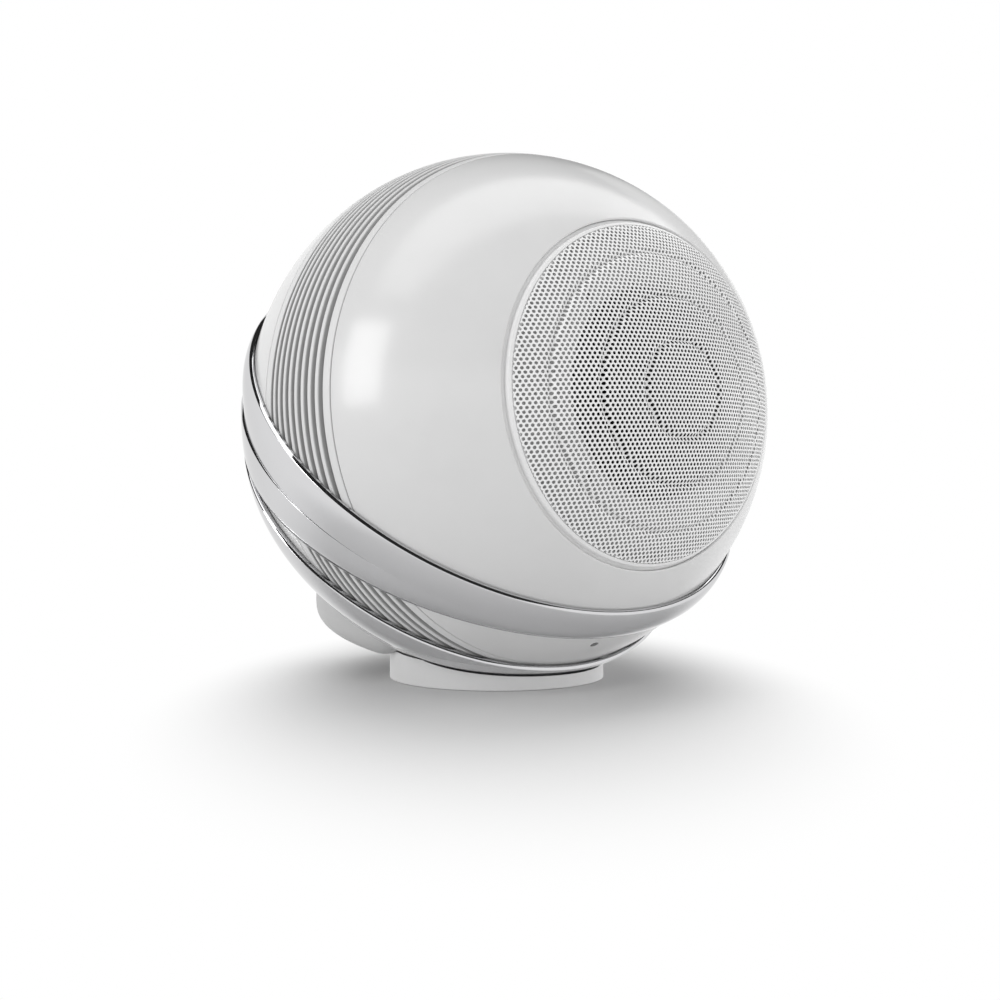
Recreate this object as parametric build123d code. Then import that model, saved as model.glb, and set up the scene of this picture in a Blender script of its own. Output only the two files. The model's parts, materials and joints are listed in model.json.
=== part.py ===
from build123d import *
import os
from math import cos, radians, sin, sqrt, tan

# Sphere speaker on a cradle of polished hoops, in millimetres and degrees.
# Origin: on the table, right below the middle of the sphere. Front is -Y, up is +Z.

# Sphere and seams
sphere_radius = 110.0
shell_wall = 3.5
floor_clearance = 2.1
seam_gap = 0.5
seal_width = 2.0
seal_recess = 0.8

# Fits
fit_gap = 0.15
slip_gap = 0.3
running_gap = 0.6

# Finned ring between the two shells
ring_length = 40.3
ring_wall = 10.0
groove_count = 9
groove_pitch = 3.76
groove_width = 2.3
groove_depth = 4.5
first_groove = 5.7
tongue_length = 6.0
tongue_wall = 2.4
tongue_inset = 5.0

# Grille opening
rim_radius = 63.7
rebate_depth = 6.0
ledge_width = 6.0
ledge_thickness = 4.0
trim_width = 2.6
trim_shelf = 1.5
grille_thickness = 1.0
crease_radii = (17.2, 34.0, 51.0)
crease_depth = 0.7
crease_half_width = 1.6
magnet_count = 6
magnet_radius = 1.5
magnet_height = 1.5

# Baffle behind the grille
baffle_drop = 5.5
baffle_flange = 2.2
baffle_land_width = 10.0
baffle_land_wall = 3.0
driver_opening = 38.5
opening_flare = 2.0
baffle_screw_radius = 1.25
baffle_screw_head = 2.2
baffle_screw_length = 5.0

# Coaxial driver
basket_flange = 2.0
basket_flange_radius = 46.5
basket_mouth = 37.0
basket_wall = 2.2
basket_depth = 28.0
basket_foot_radius = 32.0
basket_window_width = 24.0
basket_window_count = 4
spider_shelf = 8.0
spider_shelf_radius = 28.0
top_plate_radius = 29.0
top_plate = 4.0
ferrite_radius = 31.0
ferrite_bore = 17.0
ferrite_height = 12.0
back_plate = 5.0
pole_radius = 12.0
cone_radius = 31.0
cone_depth = 15.0
cone_wall = 0.9
former_wall = 0.6
coil_wall = 0.6
coil_height = 6.0
coil_lift = 0.5
cone_travel = 4.0
surround_wall = 0.6
surround_lip = 1.2
spider_wall = 0.5
spider_waves = 5
spider_wave_height = 1.2
tweeter_length = 18.5
tweeter_radius = 11.0
dome_radius = 9.3
dome_height = 4.0
dome_wall = 0.4
dome_skirt = 1.2
dome_travel = 0.4
driver_screw_count = 4
driver_screw_radius = 1.5
driver_screw_head = 2.8
driver_screw_length = 5.5

# Hoops: each lies on the sphere between two planes that lean back
upper_tilt = 44.4
upper_top = -1.5
split_tilt = 39.3
split_top = -21.7
middle_tilt = 31.3
middle_low = -43.8
lower_tilt = 44.6
lower_top = -43.4
lower_low = -68.2
upper_face = ((0.0, 2.0), (7.0, 3.15), (14.0, 2.6), (22.0, 1.5), (36.0, 0.5))
middle_rise = 5.5
middle_crown = 2.5
middle_roll = 11.0
middle_shoulder = 1.75
lower_edge = 2.6
lower_crown = 2.7
hoop_feather = 0.3

# Foot
foot_radius = 46.6
foot_setback = 8.1
foot_bore = 19.0
pad_proud = 0.6
pad_depth = 1.2
pad_radius = 39.5
pad_width = 8.0
foot_screw_count = 3
foot_screw_radius = 1.5
foot_screw_head = 3.0
foot_screw_circle = 27.0
foot_screw_angle = 52.0
foot_boss_radius = 4.5
foot_screw_length = 9.0
foot_screw_recess = 0.6

# Connector housing behind the foot
housing_radius = 62.0
housing_overhang = 0.0
housing_slope = 13.8
housing_clearance = 5.3
housing_round = 9.0
panel_width = 62.0
panel_height = 18.0
panel_thickness = 2.0
panel_gap = 0.7
panel_lip = 10.7
panel_ledge = 3.0
socket_depth = 13.0
inlet_place = -17.0
inlet_width = 20.0
inlet_height = 10.5
inlet_wall = 1.6
inlet_pin_radius = 1.1
inlet_pin_spacing = 8.6
inlet_pin_length = 9.0
network_place = 1.5
network_width = 12.0
network_height = 9.0
network_wall = 1.5
socket_back = 2.0
audio_place = 13.5
audio_radius = 1.8
audio_body = 4.0
button_place = 23.0
button_radius = 3.0
button_proud = 1.2
button_flange = 1.0
button_flange_width = 1.0
button_stem_radius = 1.5
button_travel = 0.8
switch_size = 6.0
switch_height = 3.5
plunger_height = 1.4
connector_board_wall = 1.6

# Status light in the lower front shell
lens_forward = 59.1
lens_radius = 1.7
lens_flange = 1.0
lens_flange_wall = 1.2

# Chassis and electronics behind the driver
chassis_thickness = 2.5
chassis_lap = 4.0
chassis_bore = 24.0
chassis_vent_radius = 9.0
chassis_vent_circle = 80.0
chassis_screw_count = 8
chassis_screw_radius = 1.25
chassis_screw_head = 1.9
chassis_screw_length = 7.0
standoff_height = 8.0
standoff_radius = 3.0
board_thickness = 1.6
board_width = 104.0
board_height = 56.0
board_offset = 40.0
board_hole_inset = 5.0
board_screw_radius = 1.4
board_screw_head = 2.6
board_screw_length = 5.0
spreader_width = 58.0
spreader_height = 14.0
choke_count = 4
choke_radius = 6.0
choke_height = 10.0
choke_pitch = 20.0
capacitor_count = 3
capacitor_radius = 7.0
capacitor_height = 22.0
capacitor_pitch = 18.0
core_width = 32.0
core_height = 28.0
core_depth = 24.0
core_leg = 7.0
control_width = 76.0
control_height = 40.0
control_stand = 22.0
module_width = 24.0
module_height = 18.0
module_depth = 3.0

# Places that follow from the driving dimensions
centre_height = sphere_radius + floor_clearance
centre = Vector(0, 0, centre_height)
front_frame = Plane(origin=centre, x_dir=(1, 0, 0), z_dir=(0, -1, 0))
reach = 4 * sphere_radius
inner_radius = sphere_radius - shell_wall
ring_rear = seam_gap / 2
ring_front = ring_length - seam_gap / 2
shell_start = ring_length + seam_gap / 2
rim_level = sqrt(sphere_radius**2 - rim_radius**2)
ledge_level = rim_level - rebate_depth
ledge_radius = rim_radius - ledge_width
flange_level = ledge_level + baffle_flange
trim_outer = rim_radius - slip_gap
trim_inner = rim_radius - trim_width
shelf_inner = trim_inner - trim_shelf
dome_baffle = sphere_radius - baffle_drop
land_radius = driver_opening + baffle_land_width
land_level = sqrt(dome_baffle**2 - land_radius**2) - baffle_land_wall
motor_level = land_level - basket_depth
shelf_level = motor_level + spider_shelf
ferrite_level = motor_level - top_plate - ferrite_height
former_inner = pole_radius + running_gap
former_outer = former_inner + former_wall
coil_outer = former_outer + coil_wall
gap_outer = coil_outer + running_gap
cone_level = land_level + surround_wall
neck_level = cone_level - cone_depth
coil_level = motor_level - top_plate + coil_lift
driver_screw_circle = basket_flange_radius - driver_screw_head - slip_gap
fastener_circle = (ledge_radius + trim_outer) / 2
tongue_outer = sqrt(sphere_radius**2 - ring_length**2) - tongue_inset
tongue_inner = tongue_outer - tongue_wall
chassis_seat = sphere_radius - ring_wall + chassis_lap
chassis_rear = ring_rear
board_level = chassis_rear - standoff_height
foot_place = Pos(0, foot_setback, 0)
foot_screw_seat = pad_proud + foot_screw_recess + foot_screw_radius
housing_setback = sphere_radius + housing_overhang - housing_radius
housing_back = housing_clearance + (sphere_radius + housing_overhang) * tan(radians(housing_slope))
panel_middle = housing_back + panel_lip + panel_height / 2
panel_drop = centre_height - panel_middle - panel_height / 2
panel_level = sqrt(sphere_radius**2 - panel_drop**2) + panel_gap + panel_thickness


def on_sphere(radius, along):
    """Point of a ball's outline: distance from the front axis, and along it."""
    return (sqrt(radius**2 - along**2), along)


def ball_arc(radius, start, end):
    """Outline of a ball of this radius between two places along the axis."""
    middle = Vector(*on_sphere(radius, start)) + Vector(*on_sphere(radius, end))
    middle = middle.normalized() * radius
    return ThreePointArc(on_sphere(radius, start), (middle.X, middle.Y), on_sphere(radius, end))


def turned(*edges):
    """Solid turned about the local Z axis from a closed outline in radius and height."""
    return revolve(Plane.XZ * make_face(list(edges)), axis=Axis.Z)


def path(*points):
    """Straight edges through the points, in order."""
    return [Line(a, b) for a, b in zip(points, points[1:])]


def lathe(*points):
    """Solid turned about the local Z axis from a closed outline of straight edges."""
    return turned(*path(*points, points[0]))


def washer(outer, inner, low, high):
    """Ring with a square section, between two heights on the local Z axis."""
    return lathe((inner, low), (outer, low), (outer, high), (inner, high))


def rod(radius, low, high):
    """Round bar on the local Z axis."""
    return Pos(0, 0, low) * Cylinder(radius, high - low, align=(Align.CENTER, Align.CENTER, Align.MIN))


def around(count, radius, part, first=0.0):
    """Copies of a piece, evenly spaced on a circle about the local Z axis."""
    step = 360 / count
    return [Rot(0, 0, first + step * i) * Pos(radius, 0, 0) * part for i in range(count)]


def group(parts):
    """Separate solids held in one piece list."""
    return Compound(children=[solid for part in parts for solid in part.solids()])


def screw(radius, head, length, head_height):
    """Pan-head screw along +Z: the head stands below the seat at height zero."""
    drive = head / 2
    return rod(radius, 0, length) + (
        rod(head, -head_height, 0) - rod(drive, -head_height, -head_height / 2)
    )


def ball(radius):
    """Ball about the sphere's centre."""
    return Pos(*centre) * Sphere(radius)


def lean(tilt):
    """Frame at the sphere's centre whose Z axis leans forward by the tilt."""
    normal = (0, -sin(radians(tilt)), cos(radians(tilt)))
    return Plane(origin=centre, x_dir=(1, 0, 0), z_dir=normal)


def beyond(tilt, offset):
    """Everything above a leaning plane."""
    slab = Box(reach, reach, reach, align=(Align.CENTER, Align.CENTER, Align.MIN))
    return lean(tilt) * Pos(0, 0, offset) * slab


def below(tilt, offset):
    """Everything below a leaning plane."""
    slab = Box(reach, reach, reach, align=(Align.CENTER, Align.CENTER, Align.MAX))
    return lean(tilt) * Pos(0, 0, offset) * slab


def proud(height, thickness):
    """Point of a hoop's section: this far off the sphere, at this height on its axis."""
    return (sqrt((sphere_radius + thickness) ** 2 - height**2), height)


def upper_hoop():
    """Hoop round the middle of the sphere, crowned near its flat top and thin at its lower edge."""
    face = [proud(upper_top - depth, thickness) for depth, thickness in upper_face]
    low = face[-1][1]
    inner = sphere_radius + fit_gap
    raw = turned(
        Spline(*face),
        Line(face[-1], on_sphere(inner, low)),
        ball_arc(inner, low, upper_top),
        Line(on_sphere(inner, upper_top), face[0]),
    )
    return lean(upper_tilt) * raw - below(split_tilt, split_top)


def middle_hoop():
    """Hoop that fans out behind: rolled lower edge, cut by its two neighbours' planes."""
    roll = middle_low + middle_roll
    inner = sphere_radius + fit_gap
    raw = turned(
        ThreePointArc(
            proud(middle_low, hoop_feather),
            proud(middle_low + middle_roll / 3, middle_shoulder),
            proud(roll, middle_crown),
        ),
        ball_arc(sphere_radius + middle_crown, roll, middle_rise),
        Line(proud(middle_rise, middle_crown), on_sphere(inner, middle_rise)),
        ball_arc(inner, middle_rise, middle_low),
        Line(on_sphere(inner, middle_low), proud(middle_low, hoop_feather)),
    )
    cut = lean(middle_tilt) * raw - beyond(split_tilt, split_top)
    return cut - below(lower_tilt, lower_top)


def lower_hoop(grow=0.0):
    """Lowest hoop, which stands in the foot: flat top, crowned face, thin lower edge."""
    crest = lower_top + (lower_low - lower_top) / 3
    inner = sphere_radius + fit_gap
    upper_end = proud(lower_top, lower_edge + grow)
    lower_end = proud(lower_low, hoop_feather + grow)
    raw = turned(
        ThreePointArc(upper_end, proud(crest, lower_crown + grow), lower_end),
        Line(lower_end, on_sphere(inner, lower_low)),
        ball_arc(inner, lower_low, lower_top),
        Line(on_sphere(inner, lower_top), upper_end),
    )
    return lean(lower_tilt) * raw


def front_shell():
    """Moulded shell from the finned ring to the grille's rim, with a ledge for the baffle."""
    end = shell_start + tongue_length
    solid = turned(
        ball_arc(sphere_radius, shell_start, rim_level),
        *path(
            (rim_radius, rim_level),
            (rim_radius, ledge_level),
            (ledge_radius, ledge_level),
            (ledge_radius, ledge_level - ledge_thickness),
            on_sphere(inner_radius, ledge_level - ledge_thickness),
        ),
        ball_arc(inner_radius, ledge_level - ledge_thickness, end),
        *path(
            on_sphere(inner_radius, end),
            (tongue_inner, shell_start),
            (tongue_inner, shell_start - tongue_length),
            (tongue_outer, shell_start - tongue_length),
            (tongue_outer, shell_start),
            on_sphere(sphere_radius, shell_start),
        ),
    )
    pilot = rod(baffle_screw_radius + fit_gap, ledge_level - ledge_thickness, ledge_level)
    for hole in around(magnet_count, fastener_circle, pilot, first=180 / magnet_count):
        solid -= hole
    return front_frame * solid - lens_frame() * rod(lens_radius + fit_gap, -2 * shell_wall, shell_wall)


def lens_frame():
    """Frame on the sphere's skin at the status light, with Z pointing out."""
    down = sqrt(sphere_radius**2 - lens_forward**2)
    outward = Vector(0, -lens_forward, -down).normalized()
    return Plane(origin=centre + outward * sphere_radius, x_dir=(1, 0, 0), z_dir=outward)


def status_lens():
    """Light pipe through the shell, with a flange inside."""
    seat = -shell_wall - fit_gap
    return lens_frame() * (
        rod(lens_radius, seat, -fit_gap)
        + rod(lens_radius + lens_flange, seat - lens_flange_wall, seat)
    )


def trim_ring():
    """Rim that carries the grille and drops into the shell's rebate."""
    shelf = sphere_radius - grille_thickness - fit_gap
    shelf_high = sqrt(shelf**2 - trim_inner**2)
    shelf_low = sqrt(shelf**2 - shelf_inner**2)
    skin_out = sqrt(sphere_radius**2 - trim_outer**2)
    skin_in = sqrt(sphere_radius**2 - trim_inner**2)
    return front_frame * turned(
        ball_arc(sphere_radius, skin_out, skin_in),
        Line((trim_inner, skin_in), (trim_inner, shelf_high)),
        ball_arc(shelf, shelf_high, shelf_low),
        *path(
            (shelf_inner, shelf_low),
            (shelf_inner, flange_level),
            (trim_outer, flange_level),
            (trim_outer, skin_out),
        ),
    )


def grille_outline(radius):
    """Half outline of the grille's skin at a ball radius, from the middle to its edge."""
    edge = trim_inner - fit_gap
    edges = []
    start = (0, radius)
    for crease in crease_radii:
        near = crease - crease_half_width
        far = crease + crease_half_width
        near_level = sqrt(radius**2 - near**2)
        far_level = sqrt(radius**2 - far**2)
        bottom = (crease, sqrt(radius**2 - crease**2) - crease_depth)
        edges.append(ball_arc(radius, start[1], near_level))
        edges += path((near, near_level), bottom, (far, far_level))
        start = (far, far_level)
    edges.append(ball_arc(radius, start[1], sqrt(radius**2 - edge**2)))
    return edges


def grille():
    """Domed sheet that carries on the sphere, pressed with three ring creases."""
    edge = trim_inner - fit_gap
    inner = sphere_radius - grille_thickness
    outer_end = on_sphere(sphere_radius, sqrt(sphere_radius**2 - edge**2))
    inner_end = on_sphere(inner, sqrt(inner**2 - edge**2))
    return front_frame * turned(
        *grille_outline(sphere_radius),
        Line(outer_end, inner_end),
        *grille_outline(inner),
        Line((0, inner), (0, sphere_radius)),
    )


def baffle():
    """Domed white baffle under the grille, with a flat land behind for the driver."""
    shoulder = ledge_radius - slip_gap
    mouth = driver_opening + opening_flare
    mouth_level = sqrt(dome_baffle**2 - mouth**2)
    solid = turned(
        ball_arc(dome_baffle, sqrt(dome_baffle**2 - shoulder**2), mouth_level),
        *path(
            (mouth, mouth_level),
            (driver_opening, mouth_level - opening_flare),
            (driver_opening, land_level),
            (land_radius, land_level),
            (shoulder, ledge_level),
            (trim_outer, ledge_level),
            (trim_outer, flange_level),
            (shelf_inner - slip_gap, flange_level),
            on_sphere(dome_baffle, sqrt(dome_baffle**2 - shoulder**2)),
        ),
    )
    pocket = rod(magnet_radius + fit_gap, flange_level - magnet_height, rim_level)
    clear = rod(baffle_screw_radius + fit_gap, ledge_level, flange_level)
    sink = rod(baffle_screw_head + fit_gap, flange_level - baffle_flange / 2, rim_level)
    thread = rod(driver_screw_radius + fit_gap, land_level, land_level + driver_screw_length)
    cuts = around(magnet_count, fastener_circle, pocket)
    cuts += around(magnet_count, fastener_circle, clear + sink, first=180 / magnet_count)
    cuts += around(driver_screw_count, driver_screw_circle, thread, first=180 / driver_screw_count)
    for cut in cuts:
        solid -= cut
    return front_frame * solid


def grille_magnets():
    """Small magnets in the baffle's flange that hold the grille's rim."""
    disc = rod(magnet_radius, flange_level - magnet_height, flange_level)
    return front_frame * group(around(magnet_count, fastener_circle, disc))


def baffle_screws():
    """Screws that hold the baffle to the shell's ledge, sunk under the rim."""
    seat = flange_level - baffle_flange / 2
    body = Pos(0, 0, seat) * Rot(180, 0, 0) * screw(
        baffle_screw_radius, baffle_screw_head, baffle_screw_length, baffle_flange / 2
    )
    return front_frame * group(around(magnet_count, fastener_circle, body, first=180 / magnet_count))


def driver_basket():
    """Open cast basket: front flange, slanted legs and a seat for the motor."""
    flange_back = land_level - basket_flange
    leg_top = driver_screw_circle - driver_screw_head - slip_gap
    inner_top = leg_top - basket_wall
    leg_inner = basket_foot_radius - basket_wall
    rise = (shelf_level - motor_level) / (flange_back - motor_level)
    shelf_wall = leg_inner + (inner_top - leg_inner) * rise
    solid = lathe(
        (basket_mouth, land_level),
        (basket_flange_radius, land_level),
        (basket_flange_radius, flange_back),
        (leg_top, flange_back),
        (basket_foot_radius, motor_level),
        (gap_outer, motor_level),
        (gap_outer, motor_level + basket_wall),
        (spider_shelf_radius, motor_level + basket_wall),
        (spider_shelf_radius, shelf_level),
        (shelf_wall, shelf_level),
        (inner_top, flange_back),
        (basket_mouth, flange_back),
    )
    window_low = shelf_level + basket_wall
    window_high = flange_back - basket_wall
    window = Pos(0, 0, (window_low + window_high) / 2) * Box(
        basket_flange_radius, basket_window_width, window_high - window_low
    )
    for cut in around(basket_window_count, basket_flange_radius, window):
        solid -= cut
    clear = rod(driver_screw_radius + fit_gap, flange_back, land_level)
    for hole in around(driver_screw_count, driver_screw_circle, clear, first=180 / driver_screw_count):
        solid -= hole
    return front_frame * solid


def driver_screws():
    """Screws through the basket's flange into the baffle."""
    flange_back = land_level - basket_flange
    body = Pos(0, 0, flange_back) * screw(
        driver_screw_radius, driver_screw_head, driver_screw_length, basket_flange
    )
    return front_frame * group(
        around(driver_screw_count, driver_screw_circle, body, first=180 / driver_screw_count)
    )


def driver_top_plate():
    """Steel ring round the voice-coil gap."""
    return front_frame * washer(top_plate_radius, gap_outer, motor_level - top_plate, motor_level)


def driver_ferrite():
    """Ring magnet between the two steel plates."""
    top = motor_level - top_plate
    return front_frame * washer(ferrite_radius, ferrite_bore, ferrite_level, top)


def driver_yoke():
    """Steel back plate and pole in one forging."""
    low = ferrite_level - back_plate
    chamfered = top_plate_radius - back_plate / 3
    return front_frame * lathe(
        (0, low),
        (chamfered, low),
        (top_plate_radius, low + back_plate / 3),
        (top_plate_radius, ferrite_level),
        (pole_radius, ferrite_level),
        (pole_radius, motor_level),
        (0, motor_level),
    )


def driver_cone():
    """Paper cone with its voice-coil former and winding."""
    return front_frame * lathe(
        (cone_radius, cone_level),
        (cone_radius, cone_level - cone_wall),
        (former_outer, neck_level - cone_wall),
        (former_outer, coil_level + coil_height),
        (coil_outer, coil_level + coil_height),
        (coil_outer, coil_level),
        (former_inner, coil_level),
        (former_inner, neck_level),
    )


def driver_surround():
    """Half-roll rubber edge between the cone and the basket's flange."""
    near = cone_radius + fit_gap
    far = basket_mouth
    middle = (near + far) / 2
    swell = (far - near) / 2
    lip = far + surround_lip
    top = land_level + surround_wall
    return front_frame * turned(
        ThreePointArc((near, top), (middle, top + swell), (far, top)),
        *path((far, top), (lip, top), (lip, land_level), (far - surround_wall, land_level)),
        ThreePointArc(
            (far - surround_wall, land_level),
            (middle, top + swell - surround_wall),
            (near + surround_wall, land_level),
        ),
        *path((near + surround_wall, land_level), (near, land_level), (near, top)),
    )


def driver_spider():
    """Corrugated cloth ring that centres the coil on the basket's inner shelf."""
    near = former_outer + fit_gap
    far = (spider_shelf_radius + basket_foot_radius) / 2
    step = (spider_shelf_radius - near) / (2 * spider_waves)
    crest = [near + step * i for i in range(2 * spider_waves)]
    lower = [(r, shelf_level + spider_wave_height * (i % 2)) for i, r in enumerate(crest)]
    lower.append((far, shelf_level))
    upper = [(r, level + spider_wall) for r, level in reversed(lower)]
    return front_frame * lathe(*lower, *upper)


def tweeter_body():
    """Tweeter capsule that stands on the pole, inside the cone's neck."""
    top = motor_level + tweeter_length
    well = dome_radius + running_gap
    floor = top - dome_skirt - dome_height / 2
    return front_frame * lathe(
        (0, motor_level),
        (tweeter_radius, motor_level),
        (tweeter_radius, top),
        (well, top),
        (well, floor),
        (0, floor),
    )


def tweeter_dome():
    """Soft dome with its short coil skirt."""
    base = motor_level + tweeter_length
    skirt = base - dome_skirt
    bow = (dome_radius**2 + dome_height**2) / (2 * dome_height)
    rise = bow - dome_height
    inner = sqrt((bow - dome_wall) ** 2 - rise**2)
    cap = turned(
        ball_arc(bow, bow, rise),
        Line((dome_radius, rise), (inner, rise)),
        ball_arc(bow - dome_wall, rise, bow - dome_wall),
        Line((0, bow - dome_wall), (0, bow)),
    )
    tube = washer(dome_radius, inner, skirt, base)
    return front_frame * (Pos(0, 0, base - rise) * cap + tube)


def finned_ring():
    """Cast ring with turned cooling grooves, cut for the front tongue and the chassis."""
    inner = sphere_radius - ring_wall
    step = shell_start - tongue_length - slip_gap
    outline = make_face(
        [
            ball_arc(sphere_radius, ring_rear, ring_front),
            *path(
                on_sphere(sphere_radius, ring_front),
                (tongue_outer + slip_gap, ring_front),
                (tongue_outer + slip_gap, step),
                on_sphere(inner, step),
            ),
            ball_arc(inner, step, ring_rear + chassis_thickness),
            *path(
                on_sphere(inner, ring_rear + chassis_thickness),
                (chassis_seat + slip_gap, ring_rear + chassis_thickness),
                (chassis_seat + slip_gap, ring_rear),
                on_sphere(sphere_radius, ring_rear),
            ),
        ]
    )
    for i in range(groove_count):
        place = first_groove + groove_pitch * i
        floor = sqrt(sphere_radius**2 - place**2) - groove_depth
        outline -= Pos(floor, place) * Rectangle(
            2 * groove_depth, groove_width, align=(Align.MIN, Align.CENTER)
        )
    solid = revolve(Plane.XZ * outline, axis=Axis.Z)
    seat = ring_rear + chassis_thickness
    pilot = rod(chassis_screw_radius + fit_gap, seat, ring_rear + chassis_screw_length)
    for hole in around(chassis_screw_count, chassis_bolt_circle(), pilot):
        solid -= hole
    return front_frame * solid


def chassis_bolt_circle():
    """Radius of the screws that hold the chassis in the ring's rebate."""
    return chassis_seat - chassis_lap / 2


def seam_seal(place):
    """Gasket in the seam at this place along the axis, set back from the skin."""
    skin = sqrt(sphere_radius**2 - place**2) - seal_recess
    return front_frame * washer(skin, skin - seal_width, place - seam_gap / 2, place + seam_gap / 2)


def foot_screw_places():
    """Places of the foot's screws, fanned out behind the foot's middle."""
    turns = [90 + foot_screw_angle * (i - (foot_screw_count - 1) / 2) for i in range(foot_screw_count)]
    return [foot_place * Rot(0, 0, turn) * Pos(foot_screw_circle, 0, 0) for turn in turns]


def rear_shell():
    """Rear half of the ball, with screw bosses over the foot and a window for the sockets."""
    start = -seam_gap / 2
    solid = front_frame * turned(
        ball_arc(sphere_radius, start, -sphere_radius),
        Line((0, -sphere_radius), (0, -inner_radius)),
        ball_arc(inner_radius, -inner_radius, start),
        Line(on_sphere(inner_radius, start), on_sphere(sphere_radius, start)),
    )
    core = ball(sphere_radius - shell_wall / 2)
    base = centre_height - sphere_radius
    boss_top = foot_screw_seat + foot_screw_length + shell_wall
    for place in foot_screw_places():
        boss = place * rod(foot_boss_radius, base, boss_top)
        solid += boss & core
    for place in foot_screw_places():
        solid -= place * rod(foot_screw_radius + fit_gap, 0, boss_top - shell_wall / 2)
    return solid - panel_window(slip_gap)


def chassis():
    """Pressed plate across the ring: bore for the wiring, vents and screw holes."""
    front = chassis_rear + chassis_thickness
    solid = washer(chassis_seat, chassis_bore, chassis_rear, front)
    vent = rod(chassis_vent_radius, chassis_rear, front)
    for hole in around(2, chassis_vent_circle, vent):
        solid -= hole
    clear = rod(chassis_screw_radius + fit_gap, chassis_rear, front)
    for hole in around(chassis_screw_count, chassis_bolt_circle(), clear):
        solid -= hole
    return front_frame * solid


def chassis_screws():
    """Screws through the chassis into the finned ring."""
    body = Pos(0, 0, chassis_rear) * screw(
        chassis_screw_radius, chassis_screw_head, chassis_screw_length - fit_gap, chassis_screw_radius
    )
    return front_frame * group(around(chassis_screw_count, chassis_bolt_circle(), body))


def board_corners(width, height):
    """Fixing places at a board's four corners."""
    half_width = width / 2 - board_hole_inset
    half_height = height / 2 - board_hole_inset
    return [Pos(x, y, 0) for x in (-half_width, half_width) for y in (-half_height, half_height)]


def circuit_board(width, height, level):
    """Bare board whose front face lies at this level, with corner holes."""
    blank = RectangleRounded(width, height, board_hole_inset / 2)
    solid = Pos(0, 0, level - board_thickness) * extrude(blank, board_thickness)
    for corner in board_corners(width, height):
        solid -= corner * rod(board_screw_radius + fit_gap, level - board_thickness, level)
    return solid


def board_rows():
    """The two main boards' places on the chassis, upper and lower."""
    return [Pos(0, board_offset, 0), Pos(0, -board_offset, 0)]


def amplifier_board():
    """Amplifier board above the chassis's bore."""
    return front_frame * board_rows()[0] * circuit_board(board_width, board_height, board_level)


def power_board():
    """Power-supply board below the chassis's bore."""
    return front_frame * board_rows()[1] * circuit_board(board_width, board_height, board_level)


def control_level():
    """Front face of the control board, stacked behind the amplifier."""
    return board_level - board_thickness - control_stand


def control_board():
    """Network and streaming board, with its shielded radio module."""
    board = circuit_board(control_width, control_height, control_level())
    module = Pos(0, 0, control_level() - board_thickness - module_depth / 2)
    board += module * Box(module_width, module_height, module_depth)
    return front_frame * board_rows()[0] * board


def board_standoffs():
    """Threaded pillars between the chassis and the two main boards."""
    pillar = rod(standoff_radius, board_level, chassis_rear)
    pillar -= rod(board_screw_radius + fit_gap, board_level, board_level + board_screw_length)
    places = [row * corner for row in board_rows() for corner in board_corners(board_width, board_height)]
    return front_frame * group([place * pillar for place in places])


def board_screws():
    """Screws through the two main boards into their pillars."""
    seat = board_level - board_thickness
    body = Pos(0, 0, seat) * screw(
        board_screw_radius, board_screw_head, board_screw_length, board_screw_radius
    )
    places = [row * corner for row in board_rows() for corner in board_corners(board_width, board_height)]
    return front_frame * group([place * body for place in places])


def control_standoffs():
    """Pillars that stack the control board on the amplifier board."""
    pillar = rod(standoff_radius, control_level(), board_level - board_thickness)
    corners = board_corners(control_width, control_height)
    return front_frame * group([board_rows()[0] * corner * pillar for corner in corners])


def heat_spreader():
    """Aluminium block between the amplifier board and the chassis."""
    block = Pos(0, 0, (board_level + chassis_rear) / 2) * Box(
        spreader_width, spreader_height, chassis_rear - board_level
    )
    return front_frame * board_rows()[0] * block


def output_chokes():
    """Row of wound chokes on the amplifier board."""
    seat = board_level - board_thickness
    can = rod(choke_radius, seat - choke_height, seat) - rod(choke_radius / 3, seat - choke_height, seat)
    row = [Pos(choke_pitch * (i - (choke_count - 1) / 2), 0, 0) * can for i in range(choke_count)]
    return front_frame * group([board_rows()[0] * can for can in row])


def reservoir_capacitors():
    """Row of electrolytic cans on the power board."""
    seat = board_level - board_thickness
    can = rod(capacitor_radius, seat - capacitor_height, seat)
    can = fillet(can.edges().group_by(Axis.Z)[0], capacitor_radius / 7)
    start = Pos(-capacitor_pitch, 0, 0)
    row = [start * Pos(0, capacitor_pitch * (i - (capacitor_count - 1) / 2), 0) * can
           for i in range(capacitor_count)]
    return front_frame * group([board_rows()[1] * can for can in row])


def transformer_place():
    """Middle of the transformer's core on the power board."""
    seat = board_level - board_thickness
    return board_rows()[1] * Pos(capacitor_pitch, 0, seat - core_depth / 2)


def transformer_core():
    """Ferrite core: a closed frame with a round middle leg."""
    frame = Box(core_width, core_height, core_depth)
    frame -= Box(core_width - 2 * core_leg, core_height, core_depth - 2 * core_leg)
    leg = Cylinder(core_leg / 2, core_depth - 2 * core_leg)
    return front_frame * transformer_place() * (frame + leg)


def transformer_winding():
    """Wound bobbin round the core's middle leg."""
    depth = core_depth - 2 * core_leg - 2 * fit_gap
    outer = core_width / 2 - core_leg - slip_gap
    bobbin = Cylinder(outer, depth) - Cylinder(core_leg / 2 + fit_gap, depth)
    return front_frame * transformer_place() * bobbin


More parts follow.
